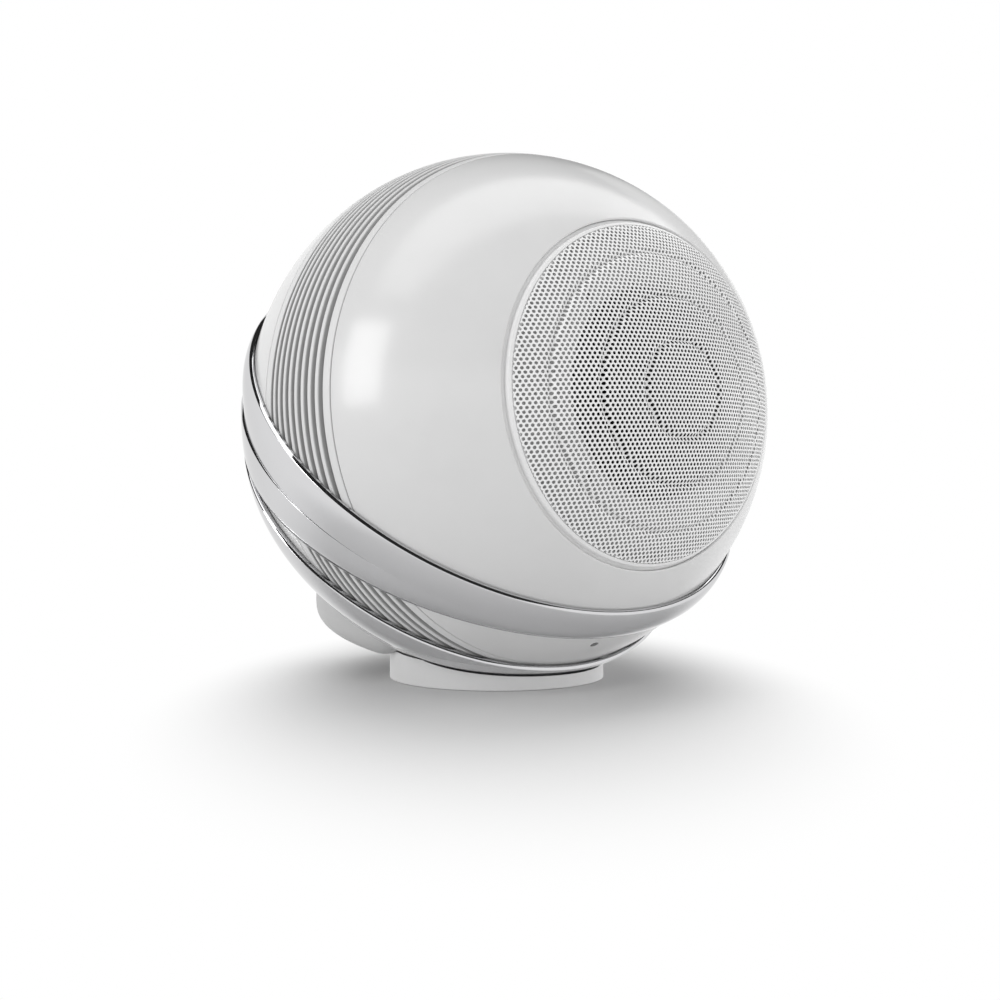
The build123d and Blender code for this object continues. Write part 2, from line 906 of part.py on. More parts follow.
def foot():
    """Foot dished to the ball and the lowest hoop, with a pad groove and screw holes."""
    groove = washer(
        pad_radius + pad_width / 2 + fit_gap, pad_radius - pad_width / 2 - fit_gap, 0, pad_proud + pad_depth
    )
    drum = rod(foot_radius, pad_proud, centre_height) - rod(foot_bore, 0, centre_height) - groove
    solid = foot_place * drum - ball(sphere_radius + fit_gap) - lower_hoop(fit_gap)
    for place in foot_screw_places():
        solid -= place * rod(foot_screw_radius + fit_gap, 0, centre_height)
        solid -= place * rod(foot_screw_head + fit_gap, 0, foot_screw_seat)
    return solid


def foot_pad():
    """Rubber ring that the foot stands on."""
    ring = washer(pad_radius + pad_width / 2, pad_radius - pad_width / 2, 0, pad_proud + pad_depth)
    return foot_place * fillet(ring.edges().group_by(Axis.Z)[0], pad_proud / 2)


def foot_screws():
    """Screws from under the foot into the rear shell's bosses."""
    body = Pos(0, 0, foot_screw_seat) * screw(
        foot_screw_radius, foot_screw_head, foot_screw_length, foot_screw_radius
    )
    return group([place * body for place in foot_screw_places()])


def panel_window(grow=0.0):
    """Opening through the housing and the rear shell for the backs of the sockets."""
    width = panel_width - 2 * panel_ledge + 2 * grow
    height = panel_height - 2 * panel_ledge + 2 * grow
    opening = Box(width, housing_radius, height)
    return Pos(0, panel_level - housing_radius / 2, panel_middle) * opening


def connector_housing():
    """Rear housing: an upright drum with a sloping underside, fitted to ball, hoop and foot."""
    slope = Plane(origin=(0, 0, housing_clearance), x_dir=(1, 0, 0),
                  z_dir=(0, -sin(radians(housing_slope)), cos(radians(housing_slope))))
    drum = Pos(0, housing_setback, 0) * rod(housing_radius, -housing_radius, centre_height)
    slab = Box(reach, reach, reach, align=(Align.CENTER, Align.CENTER, Align.MAX))
    drum -= slope * slab
    drum = fillet(drum.edges().group_by(Axis.Z)[0], housing_round)
    drum -= beyond(lower_tilt, lower_low - slip_gap)
    drum -= ball(sphere_radius + fit_gap)
    drum -= lower_hoop(fit_gap)
    drum -= foot_place * rod(foot_radius + slip_gap, 0, centre_height)
    seat = Box(panel_width + 2 * slip_gap, housing_radius, panel_height + 2 * slip_gap,
               align=(Align.CENTER, Align.MIN, Align.CENTER))
    drum -= Pos(0, panel_level - panel_thickness, panel_middle) * seat
    drum -= panel_window()
    return max(drum.solids(), key=lambda solid: solid.volume)


def panel_hole(place):
    """Frame on the panel's outer face at a socket, with Z pointing straight back."""
    return Plane(origin=(place, panel_level, panel_middle), x_dir=(1, 0, 0), z_dir=(0, 1, 0))


def connector_panel():
    """Flat plate with the cut-outs for the sockets and the button."""
    blank = extrude(RectangleRounded(panel_width, panel_height, panel_ledge / 2), -panel_thickness)
    solid = panel_hole(0) * blank
    through = 3 * panel_thickness
    cuts = [
        (inlet_place, Box(inlet_width + 2 * slip_gap, inlet_height + 2 * slip_gap, through)),
        (network_place, Box(network_width + 2 * slip_gap, network_height + 2 * slip_gap, through)),
        (audio_place, Cylinder(audio_body + slip_gap, through)),
        (button_place, Cylinder(button_radius + slip_gap, through)),
    ]
    for place, cut in cuts:
        solid -= panel_hole(place) * cut
    return solid


def socket_shell(width, height, wall):
    """Open box whose mouth is flush with the panel."""
    hollow_depth = socket_depth - socket_back
    shell = Pos(0, 0, -socket_depth / 2) * Box(width, height, socket_depth)
    hollow = Pos(0, 0, -hollow_depth / 2) * Box(width - 2 * wall, height - 2 * wall, hollow_depth)
    return shell - hollow


def mains_inlet():
    """Two-pin mains inlet with rounded ends."""
    body = extrude(RectangleRounded(inlet_width, inlet_height, inlet_height / 2 - fit_gap), -socket_depth)
    inner_height = inlet_height - 2 * inlet_wall
    mouth = RectangleRounded(inlet_width - 2 * inlet_wall, inner_height, inner_height / 2 - fit_gap)
    body -= extrude(mouth, -(socket_depth - socket_back))
    pin = rod(inlet_pin_radius, -socket_depth + socket_back, -socket_depth + socket_back + inlet_pin_length)
    for side in (-1, 1):
        body += Pos(side * inlet_pin_spacing / 2, 0, 0) * pin
    return panel_hole(inlet_place) * body


def network_socket():
    """Shielded eight-way network socket with its contact comb."""
    body = socket_shell(network_width, network_height, network_wall)
    comb = Box(network_width - 4 * network_wall, network_wall / 2, socket_depth / 2)
    low = -network_height / 2 + network_wall + network_wall / 4
    body += Pos(0, low, -socket_depth + socket_back + socket_depth / 4) * comb
    return panel_hole(network_place) * body


def audio_socket():
    """Small round audio jack."""
    body = rod(audio_body, -socket_depth, 0) - rod(audio_radius, -socket_depth + socket_back, 0)
    return panel_hole(audio_place) * body


def connector_board():
    """Small upright board behind the panel that carries the sockets and the switch."""
    width = panel_width - 2 * panel_ledge - 2 * slip_gap
    height = panel_height - 2 * panel_ledge - 2 * slip_gap
    plate = Pos(0, 0, -socket_depth - connector_board_wall / 2) * Box(width, height, connector_board_wall)
    return panel_hole(0) * plate


def setup_button():
    """Button cap, kept in by a flange behind the panel, with a stem to the switch."""
    flange_top = -panel_thickness - running_gap / 2
    stem_end = -socket_depth + switch_height + plunger_height + button_travel + slip_gap
    cap = rod(button_radius, flange_top, button_proud)
    cap = fillet(cap.edges().group_by(Axis.Z)[-1], button_proud / 3)
    flange = rod(button_radius + button_flange_width, flange_top - button_flange, flange_top)
    stem = rod(button_stem_radius, stem_end, flange_top)
    return panel_hole(button_place) * (cap + flange + stem)


def button_switch():
    """Push switch on the connector board, its plunger just past the end of the stem's travel."""
    case_top = -socket_depth + switch_height
    case = Pos(0, 0, case_top - switch_height / 2) * Box(switch_size, switch_size, switch_height)
    return panel_hole(button_place) * (case + rod(button_stem_radius, case_top, case_top + plunger_height))


nodes = {
    "front_shell": front_shell(),
    "front_grille": grille(),
    "grille_trim_ring": trim_ring(),
    "grille_magnets": grille_magnets(),
    "front_baffle": baffle(),
    "baffle_screws": baffle_screws(),
    "driver_basket": driver_basket(),
    "driver_screws": driver_screws(),
    "driver_top_plate": driver_top_plate(),
    "driver_ferrite": driver_ferrite(),
    "driver_yoke": driver_yoke(),
    "driver_cone": driver_cone(),
    "driver_surround": driver_surround(),
    "driver_spider": driver_spider(),
    "tweeter_body": tweeter_body(),
    "tweeter_dome": tweeter_dome(),
    "finned_ring": finned_ring(),
    "front_seal": seam_seal(ring_length),
    "rear_seal": seam_seal(0),
    "rear_shell": rear_shell(),
    "status_lens": status_lens(),
    "chassis_plate": chassis(),
    "chassis_screws": chassis_screws(),
    "amplifier_board": amplifier_board(),
    "power_board": power_board(),
    "control_board": control_board(),
    "board_standoffs": board_standoffs(),
    "board_screws": board_screws(),
    "control_standoffs": control_standoffs(),
    "heat_spreader": heat_spreader(),
    "output_chokes": output_chokes(),
    "reservoir_capacitors": reservoir_capacitors(),
    "transformer_core": transformer_core(),
    "transformer_winding": transformer_winding(),
    "upper_hoop": upper_hoop(),
    "middle_hoop": middle_hoop(),
    "lower_hoop": lower_hoop(),
    "foot": foot(),
    "foot_pad": foot_pad(),
    "foot_screws": foot_screws(),
    "connector_housing": connector_housing(),
    "connector_panel": connector_panel(),
    "connector_board": connector_board(),
    "mains_inlet": mains_inlet(),
    "network_socket": network_socket(),
    "audio_socket": audio_socket(),
    "setup_button": setup_button(),
    "button_switch": button_switch(),
}

os.makedirs("parts", exist_ok=True)
for name, solid in nodes.items():
    export_step(solid, f"parts/{name}.step")
    print(f"{name}: {len(solid.solids())} solids, {solid.volume / 1000:.2f} cm3")
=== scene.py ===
# %% [markdown]
# Sphere speaker in white and chrome
#
# The speaker is a ball that stands on a round foot. Its skin is made of turned parts: a white front shell,
# a perforated grille, a ring of cooling fins and a plain rear shell. Three polished hoops lean round the ball.
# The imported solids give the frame. This script makes the skin again as smooth surfaces, because a mirror or a
# gloss coat shows every facet, and gives each part its finish.

# %% Load the frame
import json
import math

import bmesh
import bpy
import numpy as np
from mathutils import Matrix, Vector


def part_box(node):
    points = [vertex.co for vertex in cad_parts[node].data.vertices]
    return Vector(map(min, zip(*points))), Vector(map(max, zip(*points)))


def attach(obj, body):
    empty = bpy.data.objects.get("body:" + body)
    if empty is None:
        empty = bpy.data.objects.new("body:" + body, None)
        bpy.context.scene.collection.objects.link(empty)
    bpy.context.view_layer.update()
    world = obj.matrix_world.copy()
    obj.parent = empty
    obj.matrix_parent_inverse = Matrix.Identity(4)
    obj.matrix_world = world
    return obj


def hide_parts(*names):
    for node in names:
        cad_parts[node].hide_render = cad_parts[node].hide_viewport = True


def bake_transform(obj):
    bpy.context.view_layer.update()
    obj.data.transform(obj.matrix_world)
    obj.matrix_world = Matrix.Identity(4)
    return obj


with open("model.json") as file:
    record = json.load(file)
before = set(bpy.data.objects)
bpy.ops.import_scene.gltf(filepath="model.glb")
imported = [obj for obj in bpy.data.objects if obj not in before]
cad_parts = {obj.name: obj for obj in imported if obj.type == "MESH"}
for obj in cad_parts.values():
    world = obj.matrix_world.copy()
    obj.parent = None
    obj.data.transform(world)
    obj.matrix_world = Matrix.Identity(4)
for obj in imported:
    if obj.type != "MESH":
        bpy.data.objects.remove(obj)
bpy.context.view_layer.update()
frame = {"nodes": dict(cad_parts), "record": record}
nodes = frame["nodes"]

# %% [markdown]
# Everything is measured from the middle of the ball. The rear shell reaches back to its pole, so its box gives
# the ball's radius, and the rear seal is a full ring, so the middle of its box gives the height of the centre.
# All lengths are metres; `mm` makes the sizes easy to read.

# %% Driving sizes
mm = 0.001
ball_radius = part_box("rear_shell")[1].y
seal_low, seal_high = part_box("rear_seal")
centre = np.array([0.0, 0.0, (seal_low.z + seal_high.z) / 2])
fit_gap = 0.15 * mm
seam_gap = 0.5 * mm
shell_wall = 3.5 * mm
edge_cut = 0.35 * mm
turn_steps = 288
print("ball radius", round(ball_radius, 5), "centre height", round(centre[2], 5))

# %% [markdown]
# A mesh from a grid: a surface is an array of points, rows by columns. Each quad joins a point to its next row
# and next column, and a closed direction wraps round with a modulo. Whole index arrays are built at once and
# handed to Blender with foreach_set, which is far quicker than adding faces one by one. The signed volume tells
# whether the faces point outwards: it is the sum of a . (b x c) / 6 over the triangles.

# %% Mesh helpers
def ring_angles(steps):
    """Column of even angles once round, without a repeat of the first."""
    return np.linspace(0, 2 * math.pi, steps, endpoint=False)[:, None]


def around(radius, angle, height):
    """Points r (cos a, sin a, 0) + h (0, 0, 1), over arrays that broadcast to one grid."""
    parts = np.broadcast_arrays(radius * np.cos(angle), radius * np.sin(angle), height)
    return np.stack(parts, axis=-1)


def grid_faces(rows, columns, wrap_rows, wrap_columns):
    """Corner indices of the quads of a grid; a wrapped direction joins its last line to its first."""
    row = np.arange(rows if wrap_rows else rows - 1)[:, None]
    column = np.arange(columns if wrap_columns else columns - 1)[None, :]
    next_row, next_column = (row + 1) % rows, (column + 1) % columns
    corners = (row * columns + column, next_row * columns + column,
               next_row * columns + next_column, row * columns + next_column)
    return np.stack(np.broadcast_arrays(*corners), axis=-1).reshape(-1, 4)


def signed_volume(points, faces):
    """Sum over the fan triangles of each face of a . (b x c) / 6."""
    first = points[faces[:, 0]]
    parts = [np.einsum("ij,ij->i", first, np.cross(points[faces[:, k]], points[faces[:, k + 1]]))
             for k in range(1, faces.shape[1] - 1)]
    return sum(part.sum() for part in parts) / 6


def place(name, data):
    """New object in the scene for a mesh, a camera or a light."""
    made = bpy.data.objects.new(name, data)
    bpy.context.scene.collection.objects.link(made)
    return made


def new_piece(name, points, faces, weld=None, sharp=40):
    """Mesh object from point and face arrays, facing outwards, with edges over the sharp angle kept crisp."""
    points = np.asarray(points, float).reshape(-1, 3)
    if signed_volume(points - points.mean(axis=0), faces) < 0:
        faces = faces[:, ::-1]
    count, corners = faces.shape
    mesh = bpy.data.meshes.new(name)
    mesh.vertices.add(len(points))
    mesh.vertices.foreach_set("co", points.ravel())
    mesh.loops.add(count * corners)
    mesh.loops.foreach_set("vertex_index", faces.ravel())
    mesh.polygons.add(count)
    mesh.polygons.foreach_set("loop_start", np.arange(count) * corners)
    mesh.update(calc_edges=True)
    if weld:
        shape = bmesh.new()
        shape.from_mesh(mesh)
        bmesh.ops.remove_doubles(shape, verts=shape.verts, dist=weld)
        bmesh.ops.dissolve_degenerate(shape, edges=shape.edges, dist=weld)
        shape.to_mesh(mesh)
        shape.free()
    mesh.validate()
    mesh.polygons.foreach_set("use_smooth", np.ones(len(mesh.polygons), bool))
    mesh.set_sharp_from_angle(angle=math.radians(sharp))
    print(name, "faces", len(mesh.polygons), "box mm", np.round(np.ptp(points, axis=0) / mm, 1).tolist())
    return place(name, mesh)


def ring_piece(name, points, closed, **options):
    """Piece from rows of points that go once round, with each row's end joined to its start where closed."""
    return new_piece(name, points, grid_faces(*points.shape[:2], True, closed), **options)


print("quads of a closed 4 by 3 grid", len(grid_faces(4, 3, True, True)))

# %% [markdown]
# The outlines of turned parts are chains of runs. A run is a straight line or an arc of the ball, and where two
# runs meet, a moulded part is never razor sharp. The corner B is replaced by a short bow
# (1-t)^2 A + 2t(1-t) B + t^2 C, where A and C lie a small cut before and after it. That tiny round is what
# catches the light along a seam.

# %% Outline helpers
longest_cut = 0.45


def bow(a, b, c, t):
    """Curve that leaves A towards B and ends at C: (1-t)^2 A + 2t(1-t) B + t^2 C."""
    return (1 - t) ** 2 * a + 2 * t * (1 - t) * b + t**2 * c


def ball_run(radius, start, end, steps=48):
    """Arc of the ball's outline: (sqrt(radius^2 - s^2), s) for s from start to end, evenly spaced in angle."""
    angle = np.linspace(math.asin(start / radius), math.asin(end / radius), steps)
    return np.stack([radius * np.cos(angle), radius * np.sin(angle)], axis=1)


def line_run(*corners):
    """Straight runs through the corners."""
    return [np.array(pair, float) for pair in zip(corners, corners[1:])]


def soft_corner(before, corner, after, cut, steps=5):
    """Bow round a corner, from a cut before it to a cut after it, or less where a run is short."""
    back, ahead = before - corner, after - corner
    a = corner + back * min(cut / np.linalg.norm(back), longest_cut)
    c = corner + ahead * min(cut / np.linalg.norm(ahead), longest_cut)
    return bow(a, corner, c, np.linspace(0, 1, steps)[:, None])


def chain(runs, cut=edge_cut, closed=True):
    """Outline from runs that meet end to start, with each meeting corner softened."""
    pieces = []
    for i, run in enumerate(runs):
        if closed or i > 0:
            pieces.append(soft_corner(runs[i - 1][-2], run[0], run[1], cut))
        pieces.append(run[1:-1])
    if not closed:
        pieces = [runs[0][:1], *pieces, runs[-1][-1:]]
    return np.concatenate(pieces)


def level(radius, ball=ball_radius):
    """Height of a ball's skin over its middle plane at this radius: sqrt(ball^2 - radius^2)."""
    return math.sqrt(ball**2 - radius**2)


def revolve(outline, angle):
    """Outline (r, s) carried about the front axis: centre + r (cos a, 0, sin a) + s (0, -1, 0)."""
    radius, along = outline.T
    return around(radius, angle, along)[..., [0, 2, 1]] * [1, -1, 1] + centre


def turned(name, outline, closed=True, **options):
    """Outline carried once round the front axis."""
    return ring_piece(name, revolve(outline, ring_angles(turn_steps)), closed, **options)


square = line_run((0, 0), (1, 0), (1, 1), (0, 1), (0, 0))
print("points of a softened square", len(chain(square)))

# %% [markdown]
# The camera. The photograph was read with a camera fit: the ball's outline, its seams and the foot give the
# place of the lens, just below the middle of the ball and to the left of the grille, and a lens of normal
# length.

# %% Camera
lens_length = 36.14
camera_place = (-0.2479, -0.3596, 0.06035)
camera_rise = 2.16
camera_heading = -34.18
camera_data = bpy.data.cameras.new("camera")
camera_data.lens = lens_length
camera_data.sensor_width = 36.0
camera = place("camera", camera_data)
camera.location = camera_place
camera.rotation_euler = (math.radians(90 + camera_rise), 0, math.radians(camera_heading))
bpy.context.scene.camera = camera
print("camera at", camera_place)

# %% [markdown]
# Shader nodes are made and linked many times below, so short helpers take up the repeated calls. They add a node
# with its settings and plain socket values, link outputs to inputs, add a smooth step and open a new group.

# %% Node helpers
def set_sockets(node, values):
    """Plain values on a node's input sockets."""
    for name, value in values.items():
        node.inputs[name].default_value = value


def add_node(tree, kind, values=None, **settings):
    """New shader node with its settings, then plain values on its sockets."""
    made = tree.nodes.new("ShaderNode" + kind)
    for name, value in settings.items():
        setattr(made, name, value)
    set_sockets(made, values or {})
    return made


def join(tree, *links):
    """Links of a node's output to a node's input: node, output, node, input."""
    for source, output, target, socket in links:
        tree.links.new(source.outputs[output], target.inputs[socket])


def smooth_range(tree, low, high):
    """Node that goes smoothly from zero at low to one at high."""
    return add_node(tree, "MapRange", {"From Min": low, "From Max": high}, interpolation_type="SMOOTHSTEP")


def new_group(name, inputs, outputs):
    """Shader node group with float inputs {name: default} and named float outputs."""
    group = bpy.data.node_groups.new(name, "ShaderNodeTree")
    for label, default in inputs.items():
        socket = group.interface.new_socket(label, in_out="INPUT", socket_type="NodeSocketFloat")
        socket.default_value = default
    for label in outputs:
        group.interface.new_socket(label, in_out="OUTPUT", socket_type="NodeSocketFloat")
    return group, group.nodes.new("NodeGroupInput"), group.nodes.new("NodeGroupOutput")


print("node helpers", [helper.__name__ for helper in (set_sockets, add_node, join, smooth_range, new_group)])

# %% [markdown]
# Finishes share a few effects, so these are node groups: a fine skin for mouldings and coats, which is a very
# shallow noise for the bump, and faint handling marks, which change the roughness by a little. A group puts out
# values only. The shader stays in each material, with its plain numbers set on its own sockets.

# %% Node groups
skin_detail, mark_detail = 2.0, 4.0
mark_low, mark_high = 0.4, 0.75


def noise_on_object(tree, given, detail):
    """Noise on Object coordinates, with its scale taken from the group's input."""
    noise = add_node(tree, "TexNoise", {"Detail": detail})
    join(tree, (add_node(tree, "TexCoord"), "Object", noise, "Vector"), (given, "Scale", noise, "Scale"))
    return noise


def moulded_skin_group():
    """Height of a fine skin: noise of the given scale times the given depth."""
    group, given, result = new_group("moulded_skin", {"Scale": 900.0, "Depth": 1.0}, ["Height"])
    noise = noise_on_object(group, given, skin_detail)
    deep = add_node(group, "Math", operation="MULTIPLY")
    join(group, (noise, "Fac", deep, 0), (given, "Depth", deep, 1), (deep, 0, result, "Height"))
    return group


def handling_marks_group():
    """Roughness with faint marks: clean + spread * smoothed noise."""
    inputs = {"Scale": 30.0, "Clean": 0.2, "Spread": 0.05}
    group, given, result = new_group("handling_marks", inputs, ["Roughness", "Mask"])
    noise = noise_on_object(group, given, mark_detail)
    shape = smooth_range(group, mark_low, mark_high)
    marked = add_node(group, "Math", operation="MULTIPLY_ADD")
    join(group, (noise, "Fac", shape, "Value"), (shape, "Result", marked, 0), (given, "Spread", marked, 1),
         (given, "Clean", marked, 2), (marked, 0, result, "Roughness"), (shape, "Result", result, "Mask"))
    return group


moulded_skin = moulded_skin_group()
handling_marks = handling_marks_group()
print("groups", [group.name for group in (moulded_skin, handling_marks)])

# %% [markdown]
# One function makes every opaque finish from its plain numbers: colour, metal or not, roughness and its marks,
# the scale and strength of the skin, and a clear coat. The colour varies by a few percent with the same marks,
# because no moulding or paint is one flat colour. The first finish is the grey of the seals in the seams.

# %% Finish helper
skin_height = 0.1 * mm
coat_rough = 0.05


def new_material(name):
    """Material with nodes, its tree and its Principled shader."""
    material = bpy.data.materials.new(name)
    material.use_nodes = True
    return material, material.node_tree, material.node_tree.nodes["Principled BSDF"]


def finish(name, colour, rough, spread=0.04, marks=35.0, metal=0.0, skin=900.0, bump=0.02, shade=0.97,
           coat=0.0, sheen=0.0, edge=1.0):
    """Material: Principled shader fed by the handling marks and the moulded skin."""
    material, tree, shader = new_material(name)
    wear = add_node(tree, "Group", {"Scale": marks, "Clean": rough, "Spread": spread}, node_tree=handling_marks)
    grain = add_node(tree, "Group", {"Scale": skin}, node_tree=moulded_skin)
    height = add_node(tree, "Bump", {"Strength": bump, "Distance": skin_height})
    worn = [value * shade for value in colour]
    tone = add_node(tree, "Mix", {"A": (*colour, 1), "B": (*worn, 1)}, data_type="RGBA")
    join(tree, (wear, "Mask", tone, "Factor"), (tone, "Result", shader, "Base Color"),
         (wear, "Roughness", shader, "Roughness"), (grain, "Height", height, "Height"),
         (height, "Normal", shader, "Normal"))
    set_sockets(shader, {"Metallic": metal, "Coat Weight": coat, "Coat Roughness": coat_rough,
                         "Sheen Weight": sheen, "Specular Tint": (edge, edge, edge, 1)})
    return material


seam_grey = finish("seam_grey", (0.22, 0.22, 0.22), 0.6)
print("first finish", seam_grey.name)

# %% [markdown]
# The finishes, one for each slot of the record: white mouldings and coats outside, chrome on the hoops, and what
# the works inside are made of. White is well under one, as real white paint is, so that light and shadow still
# show on it. The grille's rim gets a brighter white of its own. The drum and the baffle get darker copies of the
# satin white, which are painted shade: the drum for its place under the ball, the baffle for its place behind the
# sheet.

# %% Finishes
white = (0.74, 0.74, 0.74)
materials = {
    "gloss_white_moulding": finish("gloss_white", white, 0.19, spread=0.03, bump=0.01, skin=500.0),
    "satin_white_moulding": finish("satin_white", white, 0.34, spread=0.06, bump=0.05),
    "white_coated_casting": finish("white_casting", white, 0.40, spread=0.06, bump=0.05, skin=1400.0),
    "white_coated_sheet": finish("white_sheet", (0.94, 0.94, 0.94), 0.38, bump=0.04, skin=1600.0),
    "polished_chrome": finish("chrome", (0.68, 0.68, 0.69), 0.04, spread=0.03, metal=1.0, bump=0.003,
                              skin=300.0, shade=0.98, edge=0.85),
    "smoked_lens": finish("smoked_lens", (0.09, 0.09, 0.09), 0.15, coat=0.5),
    "black_moulding": finish("black_moulding", (0.022, 0.022, 0.023), 0.45, spread=0.1, bump=0.12,
                             skin=1500.0),
    "grey_button": finish("grey_button", (0.25, 0.25, 0.26), 0.4, bump=0.06),
    "black_rubber": finish("black_rubber", (0.03, 0.03, 0.03), 0.7, spread=0.12, bump=0.15),
    "paper_cone": finish("paper_cone", (0.02, 0.02, 0.02), 0.8, bump=0.3, skin=700.0),
    "silk_dome": finish("silk_dome", (0.02, 0.02, 0.02), 0.6, bump=0.3, skin=2500.0, sheen=0.3),
    "treated_cloth": finish("treated_cloth", (0.40, 0.27, 0.10), 0.8, bump=0.4, skin=2200.0),
    "zinc_steel": finish("zinc_steel", (0.55, 0.55, 0.54), 0.3, spread=0.12, metal=1.0, bump=0.03),
    "ferrite": finish("ferrite", (0.03, 0.03, 0.03), 0.6, bump=0.2),
    "cast_alloy": finish("cast_alloy", (0.5, 0.5, 0.5), 0.42, spread=0.15, metal=1.0, bump=0.1),
    "green_board": finish("green_board", (0.02, 0.13, 0.05), 0.35, bump=0.05),
    "brass_pillar": finish("brass_pillar", (0.6, 0.42, 0.14), 0.28, metal=1.0, bump=0.03),
    "copper_winding": finish("copper_winding", (0.45, 0.17, 0.06), 0.35, metal=1.0, bump=0.3, skin=1800.0),
    "sleeved_can": finish("sleeved_can", (0.03, 0.03, 0.045), 0.3, bump=0.03),
}
rim_white = finish("rim_white", (0.86, 0.86, 0.86), 0.25, spread=0.03, bump=0.01, skin=500.0)
# painted shade: a darker copy of the satin white for the drum under the ball
drum_shaded_white = finish("drum_shaded_white", (0.57, 0.57, 0.57), 0.42, spread=0.06, bump=0.05)
# painted shade: a grey copy of the satin white for the baffle behind the grille sheet
baffle_shaded_grey = finish("baffle_shaded_grey", (0.5, 0.5, 0.5), 0.55, spread=0.08, bump=0.06)
print("finishes by slot", len(materials))

# %% [markdown]
# The finned ring's grooves get painted shade: the white of the casting turns grey down in them, in place of the
# shade that falls there. A mask from the distance to the middle of
# the ball finds them: at the skin it is none, and a little below the skin it is full.
# the ball finds them: at the skin it is none, and a little below the skin it is full.

# %% Groove shade
groove_start, groove_full = 0.2 * mm, 0.6 * mm
# painted shade for the grooves, not a colour of the casting
groove_painted_shade = (0.45, 0.45, 0.45)


def paint_groove_shade(material):
    """Painted shade: colour goes from the finish to a grey with the depth below the ball's skin."""
    tree = material.node_tree
    shader = tree.nodes["Principled BSDF"]
    given = shader.inputs["Base Color"].links[0].from_node
    reach = add_node(tree, "VectorMath", {1: centre}, operation="DISTANCE")
    deep = smooth_range(tree, ball_radius - groove_start, ball_radius - groove_full)
    tone = add_node(tree, "Mix", {"B": (*groove_painted_shade, 1)}, data_type="RGBA")
    join(tree, (add_node(tree, "TexCoord"), "Object", reach, 0), (reach, "Value", deep, "Value"),
         (deep, "Result", tone, "Factor"), (given, "Result", tone, "A"), (tone, "Result", shader, "Base Color"))


# the finned ring's grooves get painted shade
paint_groove_shade(materials["white_coated_casting"])
print("groove grey", groove_painted_shade)

# %% [markdown]
# Every solid from the frame takes the finish of its slot, so that what shows through the grille's holes, or
# when a part is taken off, is never a bare default. A new piece is painted too, with its slot's finish or one of
# its own, rides on a body of the frame, and hides the solid that it stands for.

# %% Finish the solids
def paint(piece, material):
    """One material over the whole piece."""
    piece.data.materials.clear()
    piece.data.materials.append(material)


def dress(piece, body, slot, *replaced, material=None):
    """Paints a new piece with its slot's finish or a given one, seats it on its body and hides the solid that it
    stands for.
    """
    paint(piece, material or materials[slot])
    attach(piece, body)
    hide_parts(*replaced)


for part in frame["record"]["subparts"]:
    paint(nodes[part["node"]], materials[part["material_slot"]])
for seal in ("front_seal", "rear_seal"):
    paint(nodes[seal], seam_grey)
# the baffle gets painted shade, a grey in place of its satin white, for its place behind the sheet
paint(nodes["front_baffle"], baffle_shaded_grey)

# %% [markdown]
# The front shell is the smooth zone between the fins and the grille. It is a turned moulding: the ball's arc,
# a rebate that the grille drops into, the ledge below it, and the inner wall. A cut ball could give the same
# form, but an outline carried round keeps the seams exact and the skin free of facets.

# %% Front shell
ring_length = 40.3 * mm
rim_radius = 63.7 * mm
rebate_depth = 6.0 * mm
ledge_width = 6.0 * mm
ledge_wall = 4.0 * mm
tongue_inset = 5.0 * mm
rim_soft = 0.5 * mm
rim_steps = 10
inner_steps = 24
shell_start = ring_length + seam_gap / 2
rim_level = level(rim_radius)
ledge_level = rim_level - rebate_depth


def soft_rim():
    """Rounded edge that leads from the skin down into the rebate."""
    before = np.array([level(rim_level - rim_soft), rim_level - rim_soft])
    after = np.array([rim_radius, rim_level - 2 * rim_soft])
    corner = np.array([rim_radius, rim_level])
    return bow(before, corner, after, np.linspace(0, 1, rim_steps)[:, None])


def front_shell_outline():
    """Skin arc, rebate, ledge, inner arc and seam face, as one closed chain."""
    inner = ball_radius - shell_wall
    ledge = rim_radius - ledge_width
    under = ledge_level - ledge_wall
    seam = level(shell_start)
    tongue = shell_start + tongue_inset
    return chain([
        ball_run(ball_radius, shell_start, rim_level - rim_soft),
        soft_rim(),
        *line_run((rim_radius, rim_level - 2 * rim_soft), (rim_radius, ledge_level), (ledge, ledge_level),
                  (ledge, under), (level(under, inner), under)),
        ball_run(inner, under, tongue, inner_steps),
        *line_run((level(tongue, inner), tongue), (seam - tongue_inset, shell_start), (seam, shell_start)),
    ])


front_shell = turned("front_shell_skin", front_shell_outline())
dress(front_shell, "cabinet", "gloss_white_moulding", "front_shell")

# %% [markdown]
# The grille's rim is a separate ring in the rebate. It starts with a shallow valley beside the shell's rounded
# edge, which the light leaves soft grey, and rises to a white bead that holds the sheet. As a turned outline, the
# valley and the bead take a few corners only.

# %% Grille rim
rim_touch = 0.02 * mm
trim_width = 2.6 * mm
trim_shelf = 1.5 * mm
seat_drop = 1.15 * mm
valley_width = 1.2 * mm
valley_depth = 1.4 * mm
valley_rise = 0.3 * mm
trim_lift = 2.2 * mm
trim_lip_cut = 0.3 * mm
bead_steps = 6
trim_outer = rim_radius - rim_touch
trim_inner = rim_radius - trim_width
trim_base = ledge_level + trim_lift


